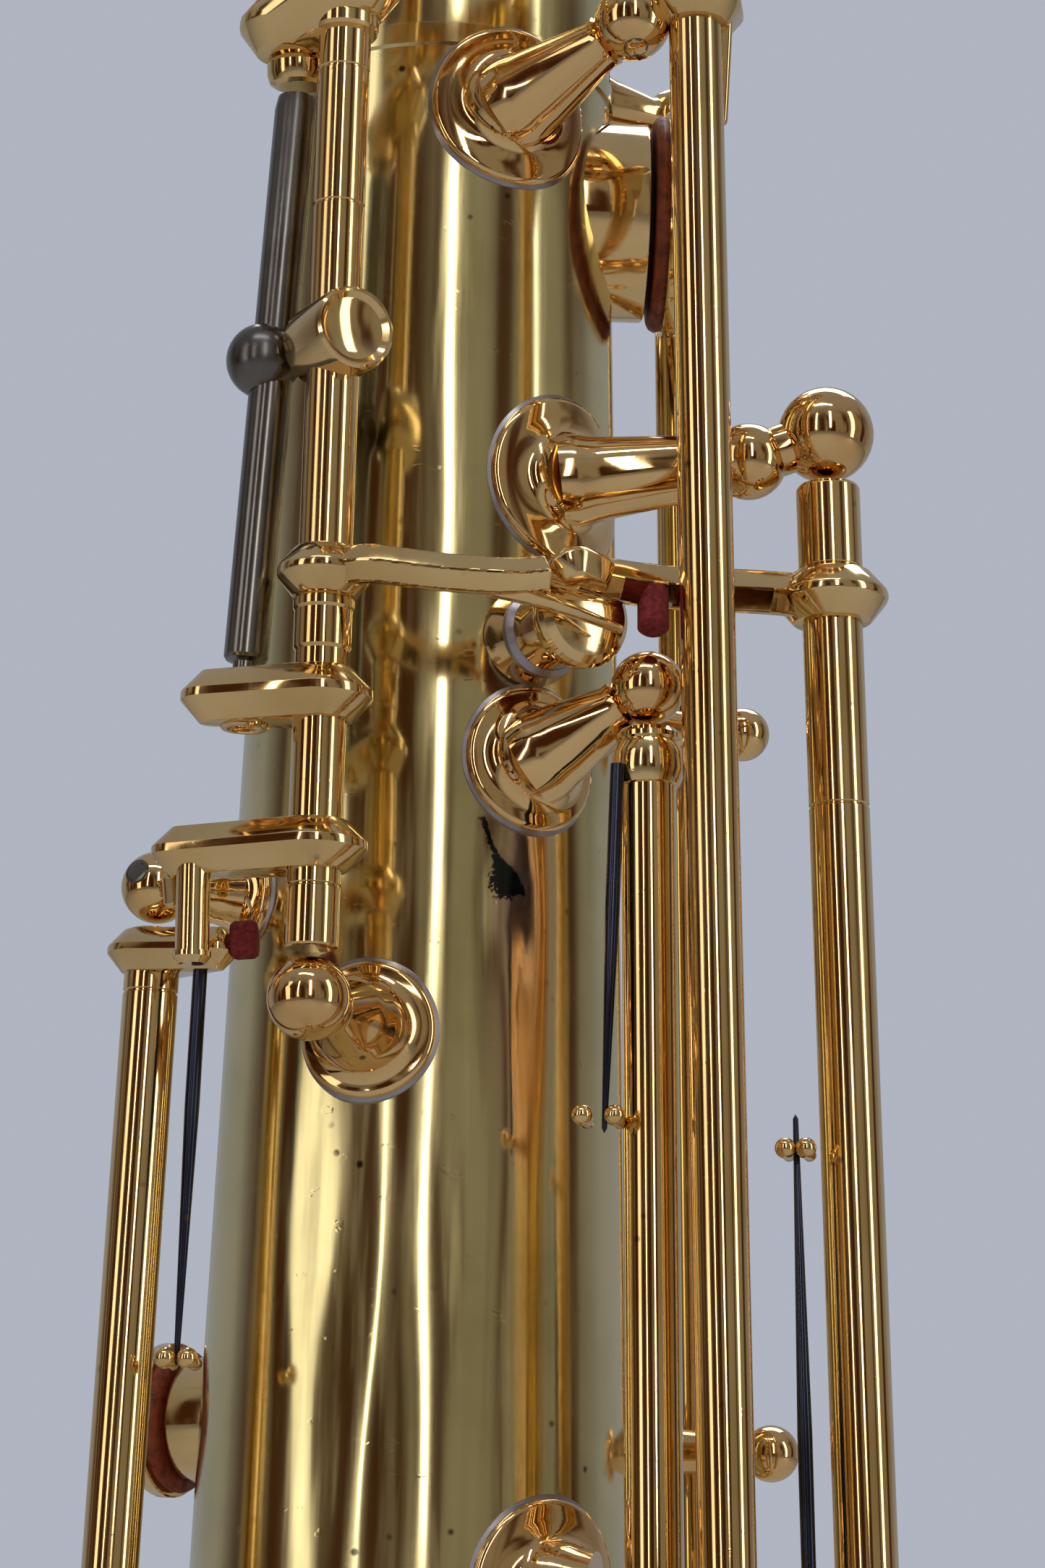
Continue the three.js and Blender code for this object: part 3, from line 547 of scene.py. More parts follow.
pad_leather = grained("pad_leather", (0.30, 0.055, 0.020), (0.14, 0.022, 0.010), 1400, (1, 1, 1),
                      (0.42, 0.6), 0.00006)
red_felt = grained("red_felt", (0.28, 0.03, 0.03), (0.14, 0.012, 0.015), 3000, (1, 1, 1),
                   (0.85, 0.98), 0.00012)
shell_pearl = grained("shell_pearl", (0.86, 0.84, 0.78), (0.70, 0.71, 0.74), 300, (1, 3, 1),
                      (0.12, 0.24), 0.00001, 0.6)
hard_rubber = grained("hard_rubber", (0.012, 0.012, 0.013), (0.028, 0.026, 0.024), 260, (1, 1, 0.3),
                      (0.16, 0.34), 0.00001, 0.2)
bare_cane = grained("bare_cane", (0.80, 0.66, 0.36), (0.62, 0.45, 0.20), 900, (1, 1, 0.03),
                    (0.5, 0.66), 0.00004)
neck_cork = grained("neck_cork", (0.52, 0.34, 0.19), (0.27, 0.15, 0.08), 700, (1, 1, 0.8),
                    (0.75, 0.92), 0.00015)
print("soft finishes are mixed")

# %% [markdown]
# ## The tone holes and keys as a list
# The horn has a tone hole for each note, and a key for each hole. Listing bearing, height
# and cup size once lets the body, the chimneys and the keys all read the same numbers.

# %% The tone holes and keys as a list
def on_cone(bearing, above, low, high):
    return at(bearing, above, low), at(bearing, above, high)


def between(a, b, low, high):
    return along_line(a, b, low), along_line(a, b, high)


FRONT = (62, 6.2)
# name: hinge from and to, cup (bearing, height, radius), whether it carries a pearl
front_keys = {
    "d": ((217.5, 245.6), (90, 232, 9.0), True),
    "e": ((246.0, 276.6), (90, 262, 8.7), True),
    "f": ((277.0, 304.6), (90, 292, 8.4), True),
    "f_sharp": ((305.0, 328.0), (90, 317, 6.8), False),
    "g": ((361.0, 392.8), (90, 371, 7.8), True),
    "bis": ((393.2, 404.2), (90, 399, 4.8), False),
    "a": ((404.6, 431.6), (90, 421, 6.6), True),
    "b": ((432.0, 455.2), (90, 443, 5.8), True),
    "small_c": ((455.6, 472.0), (90, 464, 4.8), False),
}
side_b_rod = between(V(14.2, -14.1, 383.6), V(13.3, -13.1, 432.4), 304, 429.6)
high_e_rod = between(V(18.1, -17.2, 381.7), V(16.2, -16, 454.3), 336, 535)
vent_rod = between(V(26.6, -10, 381.8), V(24.4, -9, 450), 366, 446.5)
carriage_rod = between(V(-6.1, -18, 412), V(-5.9, -18, 469.5), 415.2, 483)
link_rod = between(V(-16.95, -10, 381), V(-16.1, -9, 419), 349, 417.6)
lever_rod = between(V(11.8, -15, 474.6), V(10.4, -14.2, 512), 477.6, 512)
# name: hinge line, cup (bearing, height, radius), lift, touch (bearing, above, z, length, width)
side_keys = {
    "side_b_flat": (side_b_rod, (-6, 350, 5.6), 0, (-24, 11, 309, 16, 7)),
    "high_e": (high_e_rod, (0, 526, 5.2), 0, (-12, 11, 343, 16, 7)),
    "side_c": (on_cone(30, 7.4, 321, 476), (2, 467.5, 7.4), 0, (2, 11, 326, 16, 7)),
    "g_sharp": (on_cone(128, 6.4, 340, 398), (156, 389, 4.8), 0, (158, 9, 346, 16, 8)),
    "low_c_sharp": (on_cone(204, 6.2, 138, 336), (240, 152, 9.0), 0, (188, 12.4, 326, 14, 9)),
    "low_b": (on_cone(172, 6.2, 124, 318), (134, 133.5, 10.4), 9, (174, 12.4, 310, 14, 9)),
    "low_b_flat": (on_cone(186, 6.2, 98, 304), (126, 108.5, 10.6), 8, (182, 12.4, 294, 14, 9)),
    "low_c": (on_cone(24, 6.2, 156, 187), (66, 170, 9.8), 10, (-6, 10, 180, 17, 9)),
    "e_flat": (on_cone(8, 6.2, 194, 222), (46, 201, 8.2), 0, (-22, 9, 214, 17, 9)),
    "palm_d": (on_cone(206, 6.0, 484.6, 500.5), (164, 493, 5.4), 0, (178, 12, 491, 14, 7)),
    "palm_e_flat": (on_cone(132, 6.0, 500, 522), (176, 515, 5.2), 0, (166, 12, 504, 13, 7)),
    "palm_f": (on_cone(212, 6.0, 526, 556), (166, 548, 5.0), 0, (190, 12, 531, 15, 7)),
}
all_keys = {name: (on_cone(*FRONT, *span), cup, 10, None)
            for name, (span, cup, pearled) in front_keys.items()}
all_keys.update(side_keys)
NECK_VENT_Z = 598
holes = [(b, z, r - 1.6) for hinge, (b, z, r), lift, touch in all_keys.values()]
holes.append((270, NECK_VENT_Z, 1.7))
print(len(all_keys), "keys over tone holes")

# %% [markdown]
# ## The body tube
# A saxophone body is rolled sheet brass. Its outer and inner skins are spun together as one
# wall, the faces inside each tone hole are removed, and the wall is pushed in where it has
# been knocked. The rings are close together so the dents bend the reflections softly.

# %% The body tube
# (bearing, height, depth, width, height of the dent)
DENTS = [(296, 420, 0.34, 1.7, 4.2), (301, 414, 0.16, 1.1, 7), (290, 412, 0.12, 0.9, 9),
         (262, 443, 0.08, 2.4, 6), (274, 398, 0.10, 1.6, 8), (256, 396, 0.09, 1.2, 7),
         (243, 400, 0.10, 1.4, 6), (250, 388, 0.08, 1.3, 8), (266, 386, 0.07, 1.1, 9),
         (248, 406, 0.30, 3.2, 15), (258, 424, 0.07, 1.5, 5), (281, 404, 0.12, 1.2, 12)]


def body_wall():
    heights = [88 + 2.5 * i for i in range(226)] + [652]
    outer = [(z - 88, cone_radius(z)) for z in heights]
    step = [(d, r) for d, r in outer if not 386.6 < d < 388.8]
    step += [(386.8, cone_radius(474.8)), (386.95, cone_radius(475) + 0.22),
             (388.3, cone_radius(476.3) + 0.22), (388.45, cone_radius(476.4))]
    outer = sorted(step)
    inner = [(z - 88, cone_radius(z) - 0.9) for z in reversed(heights)]
    bm = turned(V(0, 0, 88), V(0, 0, 652), [*outer, *inner, outer[0]], 160)
    doomed = []
    for face in bm.faces:
        c = face.calc_center_median()
        bearing = math.degrees(math.atan2(c.y, c.x))
        for hole_bearing, z, radius in holes:
            if abs(c.z - z) < radius:
                turn = (bearing - hole_bearing + 180) % 360 - 180
                across = math.radians(turn) * cone_radius(z)
                if abs(turn) < 90 and across ** 2 + (c.z - z) ** 2 < (radius - 0.1) ** 2:
                    doomed.append(face)
                    break
    bmesh.ops.delete(bm, geom=doomed, context="FACES")
    for vert in bm.verts:
        bearing = math.degrees(math.atan2(vert.co.y, vert.co.x))
        side = V(vert.co.x, vert.co.y, 0).normalized() * 3.4
        push = 0.03 * noise.noise(V(side.x, side.y, vert.co.z / 26))
        for dent_bearing, z, depth, wide, tall in DENTS:
            turn = (bearing - dent_bearing + 180) % 360 - 180
            across = math.radians(turn) * cone_radius(z) / wide
            rise = (vert.co.z - z) / tall
            push += depth * math.exp(-across ** 2 - rise ** 2)
        flat = V(vert.co.x, vert.co.y, 0)
        vert.co -= flat.normalized() * push
    return bm


def chimney(bearing, z, radius):
    sink = cone_radius(z) - math.sqrt(cone_radius(z) ** 2 - radius ** 2) + 1.0
    foot, lip = at(bearing, -sink, z), at(bearing, 2.3, z)
    length = 2.3 + sink
    profile = [(0, radius), (0, radius + 0.7), (length - 0.2, radius + 0.7),
               (length - 0.05, radius + 0.62), (length, radius + 0.45), (length, radius + 0.15),
               (length - 0.1, radius), (0, radius)]
    return turned(foot, lip, profile, 48)


finished("body_tube_skin", body_wall(), body_brass, "horn", ["body_tube"], sharp=40)
finished("tone_hole_chimneys", gather([chimney(*hole) for hole in holes]), yellow_brass, "horn")
print("body wall with", len(holes), "chimneys")

# %% [markdown]
# ## The bell and its rings
# The bell is spun thin over a mandrel and its edge is rolled over a wire. It is a turned
# wall too, with the rim as its own turned ring, and a reeded band hides the joint above.

# %% The bell and its rings
def flare(z, cut=0):
    t = (z - 3.1) / (87.6 - 3.1)
    return cone_radius(z) + (44.8 - cone_radius(0)) * (1 - t) ** 3.2 - cut


heights = [3.1 + (87.6 - 3.1) * (i / 60) ** 1.25 for i in range(61)]
bell_wall = [(z, flare(z)) for z in heights] + [(z, flare(z, 1)) for z in reversed(heights)]
lacquered("bell_flare", turned(V(0, 0, 0), UP * 88, [*bell_wall, bell_wall[0]], 160), ["bell"])
rim_ring = [(0, 43.7), (0, 45.2), (0.35, 45.8), (1.2, 46), (2.1, 45.7), (2.7, 45), (2.8, 44.2),
            (2.5, 43.7), (0, 43.7)]
lacquered("bell_rim_roll", turned(V(0, 0, 0), UP * 3, rim_ring, 160), ["bell_rim"], sharp=60)


def reeded_band(low, high, thick):
    middle = (low + high) / 2
    inner = cone_radius(low) + 0.05
    reeds = [(middle - low - x, inner + thick * (0.8 + 0.2 * math.cos(x * 1.9)))
             for x in (0.6, 0.3, 0, -0.3, -0.6)]
    return turned(UP * low, UP * high, [
        (0, inner), (0, inner + thick * 0.45), (0.3, inner + thick * 0.6),
        (middle - low - 0.9, inner + thick * 0.62), (middle - low - 0.8, inner + thick * 0.8),
        *reeds,
        (middle - low + 0.8, inner + thick * 0.8), (middle - low + 0.9, inner + thick * 0.62),
        (high - low - 0.3, inner + thick * 0.55), (high - low, inner + thick * 0.4),
        (high - low, cone_radius(high) + 0.05), (0, inner)], 128)


finished("bell_band", reeded_band(84, 91.5, 2.2), red_brass, "horn", ["bell_ring"])
finished("neck_band", reeded_band(618, 623, 1.8), red_brass, "horn", ["neck_ring"])
print("bell mouth radius", round(flare(3.1), 1), "mm")

# %% [markdown]
# ## Posts
# Every rod turns between posts. A post is a flat round foot soldered to the body, a turned
# stem that grows out of it in a soft curve, and a ball drilled for the pivot screw. The foot
# and its grey line of solder are made flat and then wrapped round the cone, so they hug it.

# %% Posts
solder_lines = []


def post_foot(bearing, z, radius, root=1.75):
    dish = turned(V(0, 0, -0.4), V(0, 0, 1), [
        (0, 0), (0, radius), (0.72, radius), (0.92, radius - 0.12), (1.0, radius - 0.4),
        (0.97, root + (radius - root) * 0.6), (1.04, root + 0.95), (1.22, root + 0.5), (1.6, root + 0.18),
        (2.1, root), (2.2, 0)], 64)
    line = turned(V(0, 0, -0.3), V(0, 0, 1), [
        (0, radius - 0.3), (0, radius + 0.34), (0.36, radius + 0.22), (0.5, radius - 0.05),
        (0, radius - 0.3)], 64)
    solder_lines.append(wrapped(line, bearing, z))
    return wrapped(dish, bearing, z)


def post_stem(foot, centre, wide, narrow, ball_radius):
    length = (centre - foot).length
    reach = length - ball_radius * 0.85
    return turned(foot, centre, [
        (-0.6, 0), (-0.6, wide + 0.45), (0.3, wide + 0.42), (0.8, wide + 0.3), (1.4, wide + 0.12),
        (2.2, wide), (reach - 0.5, narrow), (reach, narrow * 1.06), (reach + 0.3, 0)], 48)


def post(name, centre, bearing, z, foot_radius, ball_radius, stem, stands_for=(), extras=()):
    foot = at(bearing, 0.5, z)
    parts = [post_foot(bearing, z, foot_radius, stem[0]),
             post_stem(foot, centre, *stem, ball_radius),
             globe(centre, ball_radius, (centre - foot).normalized()), *extras]
    return finished(name, gather(parts), post_brass_with_painted_reflection, "horn", stands_for, 50)


def ball_beyond(near, far, radius):
    """Centre of a post's ball just past the end of a hinge tube."""
    return near + (near - far).normalized() * (radius + 0.35)


carriage_ball = ball_beyond(*carriage_rod, 2.55)
side_b_ball = ball_beyond(*reversed(side_b_rod), 2.3)
link_ball = ball_beyond(*reversed(link_rod), 2.3)
vent_ball = ball_beyond(*reversed(vent_rod), 3.0)
near_ball = V(19.6, -9, 448)
lever_ball = V(11.8, -15, 474.6)
post("carriage_post", carriage_ball, 256, 411.4, 4.1, 2.45, (2.3, 1.5), ["post_carriage"])
post("side_b_flat_post", side_b_ball, 303, 428.4, 4.5, 2.25, (2.45, 1.55), ["post_side_b_flat"])
twin = [globe(vent_ball, 3.0, UP, 48), tube(near_ball, vent_ball, 1.6)]
post("vent_key_post", near_ball, 315, 446.6, 5.5, 2.4, (2.6, 1.95), ["post_vent"], twin)
post("thumb_lever_post", lever_ball, 294, 471, 5.3, 2.4, (2.6, 1.6), ["post_lever"])
post("link_post", link_ball, 206, 420.5, 3.4, 2.2, (1.8, 1.3), ["post_link"])
saddle_head = along_line(*side_b_rod, 379) + V(-1.6, 2.4, 0)
post("rod_saddle_stay", saddle_head, 309, 379.4, 5.2, 1.7, (2.5, 1.5), ["rod_saddle"],
     [collar(saddle_head - UP * 1.6, saddle_head + UP * 1.6, 1.8)])


def hidden_post(centre, turn=0):
    bearing = math.degrees(math.atan2(centre.y, centre.x)) + turn
    foot = at(bearing, 0.3, centre.z)
    return [post_foot(bearing, centre.z, 3.1, 1.5), post_stem(foot, centre, 1.6, 1.2, 2.3),
            globe(centre, 2.3, UP, 28)]


PIVOT_REACH = 2.35
rows = [on_cone(*FRONT, 217.5, 328), on_cone(*FRONT, 361, 472)]
rows += [key[0] for name, key in side_keys.items() if name != "side_b_flat"]
hidden = [ball_beyond(a, b, PIVOT_REACH) for low, high in rows for a, b in ((low, high), (high, low))]
hidden += [ball_beyond(*rod, PIVOT_REACH) for rod in (side_b_rod, vent_rod, link_rod)]
hidden += [ball_beyond(*reversed(rod), PIVOT_REACH) for rod in (carriage_rod, lever_rod)]
high_e_low = ball_beyond(*high_e_rod, PIVOT_REACH)
posts = [hidden_post(c, 42 if (c - high_e_low).length < 1 else 0) for c in hidden]
finished("soldered_posts", gather([shape for shapes in posts for shape in shapes]), post_brass_with_painted_reflection, "horn")
bumpers = []
for end in (V(22.2, 4.0, 387.6), V(20.2, 4.0, 433.6)):
    bumpers += [globe(end, 1.75, UP, 32), post_stem(at(10, 0.3, end.z), end, 1.5, 0.9, 1.7),
                post_foot(10, end.z, 2.8, 1.4)]
finished("bumper_posts", gather(bumpers), post_brass_with_painted_reflection, "horn")
print(len(hidden) + 6, "posts and two bumpers")

# %% [markdown]
# ## Pad cups, pads and pearls
# A pad cup is a pressed dome with a straight wall. The leather pad stands a little proud of
# the wall and meets the chimney. Pearls sit in a turned ring on the cups that fingers press.

# %% Pad cups, pads and pearls
def cup_shape(bearing, z, radius):
    rise = 0.85
    dome = [(1.15 + rise * math.sin(t), radius * 0.93 * math.cos(t) + 0.02)
            for t in (0.12, 0.3, 0.55, 0.8, 1.1, 1.4)]
    return spun_out(bearing, 3.5, z, [
        (0.35, 0), (0.35, radius - 0.5), (0, radius - 0.42), (0, radius - 0.1), (0.1, radius),
        (0.85, radius), (1.0, radius - 0.06), *dome, (1.15 + rise, 0)], 56)


def pad_shape(bearing, z, radius):
    return spun_out(bearing, 2.5, z, [
        (0.2, 0), (0.16, radius * 0.3), (0.1, radius * 0.6), (0.12, radius * 0.8),
        (0.16, radius - 0.7), (0.3, radius - 0.45), (0.6, radius - 0.28), (1.0, radius - 0.4),
        (1.5, radius - 0.6), (1.5, 0)], 56)


def pearl_ring(bearing, z):
    return spun_out(bearing, 5.1, z, [
        (0, 0), (0, 4.15), (1.3, 4.15), (1.5, 4.0), (1.5, 3.75), (1.1, 3.7), (1.1, 0)], 48)


def pearl_button(bearing, z):
    return spun_out(bearing, 6.2, z, [
        (0, 0), (0, 3.65), (0.4, 3.65), (0.7, 3.4), (0.62, 2.4), (0.5, 1.2), (0.46, 0)], 48)


def cup_arm(hinge, bearing, z, radius):
    """From the hinge, over the edge of the cup and tapering to its middle."""
    centre = at(bearing, 5.5, z)
    start = along_line(*hinge, z)
    sideways = V(-outward(bearing).y, outward(bearing).x, 0)
    sign = 1 if (start - centre).dot(sideways) > 0 else -1
    edge = centre + sideways * sign * (radius + 0.2) + outward(bearing) * 0.15
    inside = centre + sideways * sign * radius * 0.45 + outward(bearing) * 0.1
    tip = centre - sideways * sign * radius * 0.25 - outward(bearing) * 0.35
    wide = min(4.6, 2 + radius * 0.3)
    return strap([start, edge, inside, tip], wide, 1.5, UP, 0.62)


def lift_sign(hinge, bearing, z):
    axis = (hinge[1] - hinge[0]).normalized()
    reach = at(bearing, 4.5, z) - along_line(*hinge, z)
    return 1 if axis.cross(reach).dot(outward(bearing)) > 0 else -1


def spring_needle(a, b):
    """A blued needle spring, thick where it is driven into the post and fine at its tip."""
    length = (b - a).length
    return turned(a, b, [(0, 0), (0, 0.42), (length * 0.4, 0.44), (length - 0.3, 0.16), (length, 0)], 16)


pieces_made = 0
for name, (hinge, cup, lift, touch) in all_keys.items():
    body = f"key_{name}_body"
    length = (hinge[1] - hinge[0]).length
    bearing, z, radius = cup
    rings = [1.6, length - 1.6] if length > 20 else [1.2]
    shapes = [tube(*hinge, HINGE_TUBE, rings=rings), cup_shape(*cup)]
    axis = (hinge[1] - hinge[0]).normalized()
    middle = along_line(*hinge, z)
    shapes.append(collar(middle - axis * 1.9, middle + axis * 1.9, 1.98))
    if name == "side_b_flat":
        top = hinge[1]
        shapes.append(turned(top, top - axis, [
            (0, 0), (0, 1.7), (0.3, 1.95), (0.6, 1.95), (0.75, 1.8), (1.5, 2.15), (2.6, 2.15), (3.4, 1.85),
            (3.5, 1.6), (3.5, 0)], 48))
        shapes.append(strap([middle, V(16.6, -10.6, z), V(18.8, -6.6, z), at(-6, 5.0, z)], 3, 1.5, UP, 0.7))
    else:
        shapes.append(cup_arm(hinge, *cup))
    if name == "high_e":
        ridge = along_line(*hinge, 475.4)
        shapes.append(link_plate([(ridge, 2.9), (ridge + V(1.6, 2.6, 0.6), 1.6)], axis, 2.6, 0.9))
        shapes.append(strap([ridge + V(0.9, 1.2, -0.6), along_line(*hinge, 467.8) + V(0.4, 0.6, 0)],
                            2.2, 3.0, V(0, 1, 0), 0.3, 0.3))
    if touch:
        t_bearing, above, t_z = touch[:3]
        joint = along_line(*hinge, t_z)
        shapes.append(plate(*touch))
        shapes.append(strap([joint, joint.lerp(at(t_bearing, above, t_z), 0.5) + outward(t_bearing) * 1.2,
                             at(t_bearing, above - 0.6, t_z)], 3.4, 1.5, UP, 1.1))
        shapes.append(collar(joint - axis * 2.1, joint + axis * 2.1, 2.0))
    pad = pad_shape(*cup)
    open_turn = lift * lift_sign(hinge, bearing, z)
    whole = gather(shapes)
    pearled = name in front_keys and front_keys[name][2]
    if pearled:
        whole = gather([whole, pearl_ring(bearing, z)])
        finished(f"pearl_{name}_button", swing(pearl_button(bearing, z), hinge, open_turn), shell_pearl,
                 body, [f"pearl_{name}"])
    lacquered(f"key_{name}_work", swing(whole, hinge, open_turn), [f"key_{name}"], body)
    finished(f"pad_{name}", swing(pad, hinge, open_turn), pad_leather, body)
    pieces_made += 2
print(pieces_made, "key pieces made")

# %% [markdown]
# ## The octave mechanism
# The carriage is a tube on a pivot rod with arms brazed to it: one blocks or frees the vent
# key, one carries the rocker, a dark steel rod caught between two cups. The vent key lies
# across from the other side and closes the small vent with a domed cup. Each arm leaves a
# hub, a wider collar with bevelled edges, because a brazed joint needs metal round it.

# %% The octave mechanism
def line_axis(line):
    return (line[1] - line[0]).normalized()


def hub_on(line, z, height, radius, bevel=0.9):
    """A ridged boss round a hinge tube."""
    return link_plate([(along_line(*line, z), radius)], line_axis(line), height, bevel)


def sleeve_on(line, low, high, radius):
    """A plain sleeve between two arms, a hair wider than the tube inside it."""
    a, b = along_line(*line, low), along_line(*line, high)
    return collar(a, b, radius, 0.12)


def carriage_work():
    line, axis = carriage_rod, line_axis(carriage_rod)
    hub = lambda z: along_line(*line, z)
    barrel, along = hub(452.1), V(0.5, -0.866, 0).normalized()
    back = barrel - along * 1.9
    cup = turned(back, barrel, [
        (0, 0), (0, 2.2), (0.35, 2.6), (4.4, 2.6), (4.75, 2.52), (4.9, 2.36), (4.85, 2.22),
        (4.55, 1.9), (4.35, 1.2), (4.3, 0)], 56)
    arm_a = strap([hub(437.7), V(-3.4, -20.3, 437.6), V(0.6, -21.0, 437.0), V(4.4, -20.3, 437.0),
                   V(7.0, -19.2, 437.5)], 2.3, 2.0, UP, 0.92, 0.13, 8, RIDGED)
    blade = strap([V(3.6, -20.0, 436.6), V(7.2, -18.9, 435.9), V(11.6, -17.6, 434.6)], 1.5, 1.2,
                  UP, 0.3, 0.12, 6, RIDGED)
    bush = turned(V(-8.9, -15.4, 471.4), V(-8.8, -15.0, 469), [
        (0, 0), (0, 1.75), (0.3, 1.95), (1.0, 1.95), (1.5, 1.8), (1.7, 1.5), (1.7, 0)], 40)
    return gather([
        tube(*line, 1.6, rings=[3.6, 45.4, 54.2]), cup, arm_a, blade, bush,
        link_plate([(hub(437.6), 2.85)], axis, 3.0), sleeve_on(line, 432.8, 436.0, 1.72),
        sleeve_on(line, 435.2, 436.1, 1.82),
        link_plate([(hub(430.2), 3.1), (V(-12.3, -17.7, 430.0), 1.95)], axis, 3.1, 1.15),
        turned(V(-10.5, -17.0, 429.0), V(-10.5, -17.0, 428.3), [
            (0, 0), (0, 1.45), (0.6, 1.45), (0.7, 1.35), (0.7, 1.05), (0.6, 1.0), (0.3, 0)], 32),
        link_plate([(hub(421.2), 3.1), (V(-13.9, -16.9, 420.9), 1.75)], axis, 2.9, 1.15),
        turned(V(-13.1, -17.3, 420), V(-13.0, -17.2, 414.2), [
            (0, 0), (0, 1.0), (5.0, 1.0), (5.0, 1.12), (5.3, 1.12), (5.7, 0.8), (5.8, 0)], 32),
        collar(V(-14.6, -15.6, 419.9), V(-14.4, -15.2, 417.9), 0.55, 0.2),
        link_plate([(hub(474.8), 3.3), (V(-9.6, -16.6, 472.9), 2.9)], axis, 3.6, 1.1),
        sleeve_on(line, 471.9, 473.0, 2.05),
        strap([hub(480.2), V(-13, -18.4, 480.2)], 2.8, 1.6),
    ])


lacquered("octave_carriage_work", carriage_work(), ["octave_carriage"], "octave_carriage_body", 22)
rocker_low, rocker_high = V(-10.65, -16.2, 432.6), V(-8.9, -15.0, 469)
rocker = gather([turned(rocker_low, rocker_high, [
    (-1.8, 0), (-1.8, 0.75), (-0.1, 0.75), (0, 0.9), (0.06, 1.2), (0.25, 1.33), (35.6, 1.33), (36.4, 1.2),
    (36.44, 0)], 36), globe(V(-10.3, -15.6, 451.6), 2.3, (rocker_high - rocker_low).normalized(), 48)])
finished("octave_rocker_rod", rocker, dark_steel, "octave_rocker_body", ["octave_rocker"])

vent_cup, vent_out = V(9.0, -14.9, 436.0), V(0.5, -0.86, 0).normalized()


def vent_key_work():
    hub = along_line(*vent_rod, 439.2)
    axis = line_axis(vent_rod)
    foot = vent_cup - vent_out * 0.2
    dome = turned(foot, foot + vent_out, [
        (0.25, 0), (0.25, 2.6), (0, 2.7), (0, 3.05), (0.2, 3.1), (0.75, 3.1), (1.1, 2.95), (1.5, 2.5),
        (1.72, 1.8), (1.8, 0.9), (1.82, 0)], 56)
    tip = V(8.6, -17.6, 438.2)
    return gather([
        tube(*vent_rod, 1.85, rings=[60]), link_plate([(hub, 3.5)], axis, 3.2, 1.1),
        sleeve_on(vent_rod, 440.9, 446.4, 1.98),
        strap([hub, V(20.4, -10.6, 439.1), V(15.2, -12.9, 438.6), V(11.4, -15.5, 438.2), tip],
              2.7, 2.0, UP, 0.95, 0.13, 8, RIDGED),
        link_plate([(tip, 1.7), (V(9.6, -16.6, 438.1), 1.7)], V(-0.3, 0.55, 0.8).normalized(),
                   2.2, 0.9), dome])


lacquered("octave_vent_key_work", vent_key_work(), ["octave_vent_key"], "octave_vent_key_body", 22)
pad_foot = vent_cup - vent_out * 0.55
finished("pad_vent", turned(pad_foot, pad_foot + vent_out, [
    (0, 0), (0, 1.9), (0.1, 2.6), (0.4, 2.85), (0.8, 2.8), (0.9, 0)], 56), pad_leather,
    "octave_vent_key_body")
seat_lip = vent_cup - vent_out * 0.58
seat_root = seat_lip - vent_out * 5.5
finished("octave_vent_seat", turned(seat_root, seat_lip, [
    (0, 1.1), (0, 3.2), (0.6, 3.0), (1.6, 2.5), (3.2, 2.3), (4.9, 2.15), (5.4, 2.0), (5.5, 1.8),
    (5.5, 1.3), (5.3, 1.1), (0, 1.1)], 48), post_brass_with_painted_reflection, "horn")
solder_lines.append(turned(seat_lip - vent_out * 3.4, seat_lip, [
    (0, 2.2), (-0.3, 2.75), (0.1, 2.75), (0.45, 2.4), (0, 2.2)], 48))
bumper_top = V(13.5, -14.4, 437.9)
finished("bumper_cork", turned(bumper_top, bumper_top + V(0, -0.35, -1), [
    (0, 0), (0, 0.95), (2.6, 0.95), (2.8, 0.75), (2.85, 0)], 32), red_felt, "octave_vent_key_body")


def lever_work():
    hub = along_line(*lever_rod, 505)
    return gather([
        tube(*lever_rod, 1.6, rings=[4.4]), hub_on(lever_rod, 505, 3.6, 2.8),
        strap([hub, V(3, -18.2, 505)], 4, 1.8), plate(262, 7.6, 505.5, 14, 13, 1.8),
        hub_on(lever_rod, 481.6, 3.2, 2.8),
        strap([along_line(*lever_rod, 481.6), V(1, -22.3, 481.2), V(-6, -22.3, 480.8),
               V(-12.6, -21.3, 480.4)], 2.8, 1.5)])


lacquered("octave_lever_work", lever_work(), ["octave_lever"], "octave_lever_body")


def link_work():
    hub = along_line(*link_rod, 416.2)
    return gather([
        tube(*link_rod, HINGE_TUBE, rings=[1.6, 64.8]),
        link_plate([(hub, 2.75), (V(-11.9, -13.6, 415.8), 1.35)], line_axis(link_rod), 2.5, 0.9),
        strap([along_line(*link_rod, 353), at(186, 10, 353)], 3, 1.7),
        plate(180, 10, 353, 11, 11)])


lacquered("g_link_work", link_work(), ["g_link"], "g_link_body")
felt_at = V(-11.0, -14.2, 416.2)
finished("link_felt", collar(felt_at, felt_at + V(1.5, -0.1, 0.1), 1.15, 0.15), red_felt, "g_link_body")


def neck_key_work():
    pin = at(270, 5.4, 556)
    across = V(1, 0, 0)
    path = [at(270, 4.6, 526), at(270, 6.0, 542), pin, at(270, 5.2, 580), at(270, 4.4, NECK_VENT_Z)]
    return gather([
        collar(pin - across * 2.6, pin + across * 2.6, 1.5, 0.2),
        strap(path, 3.2, 1.6, across),
        spun_out(270, 2.65, NECK_VENT_Z, [
            (0.25, 0), (0.25, 2.5), (0, 2.6), (0, 2.95), (0.2, 3), (0.9, 3), (1.4, 2.6), (1.7, 1.8),
            (1.75, 0)])])


lacquered("neck_octave_key_work", neck_key_work(), ["neck_octave_key"], "neck_octave_key_body")
neck_lugs = [strap([V(s * 4.3, -6, 556), at(270, 5.4, 556) + V(s * 4.3, 0, 0)], 3.4, 2, UP, 0.8)
             for s in (-1, 1)]
finished("neck_key_lugs", gather(neck_lugs), yellow_brass, "horn")
print("octave mechanism: carriage, rocker, vent key, lever, link, neck key")

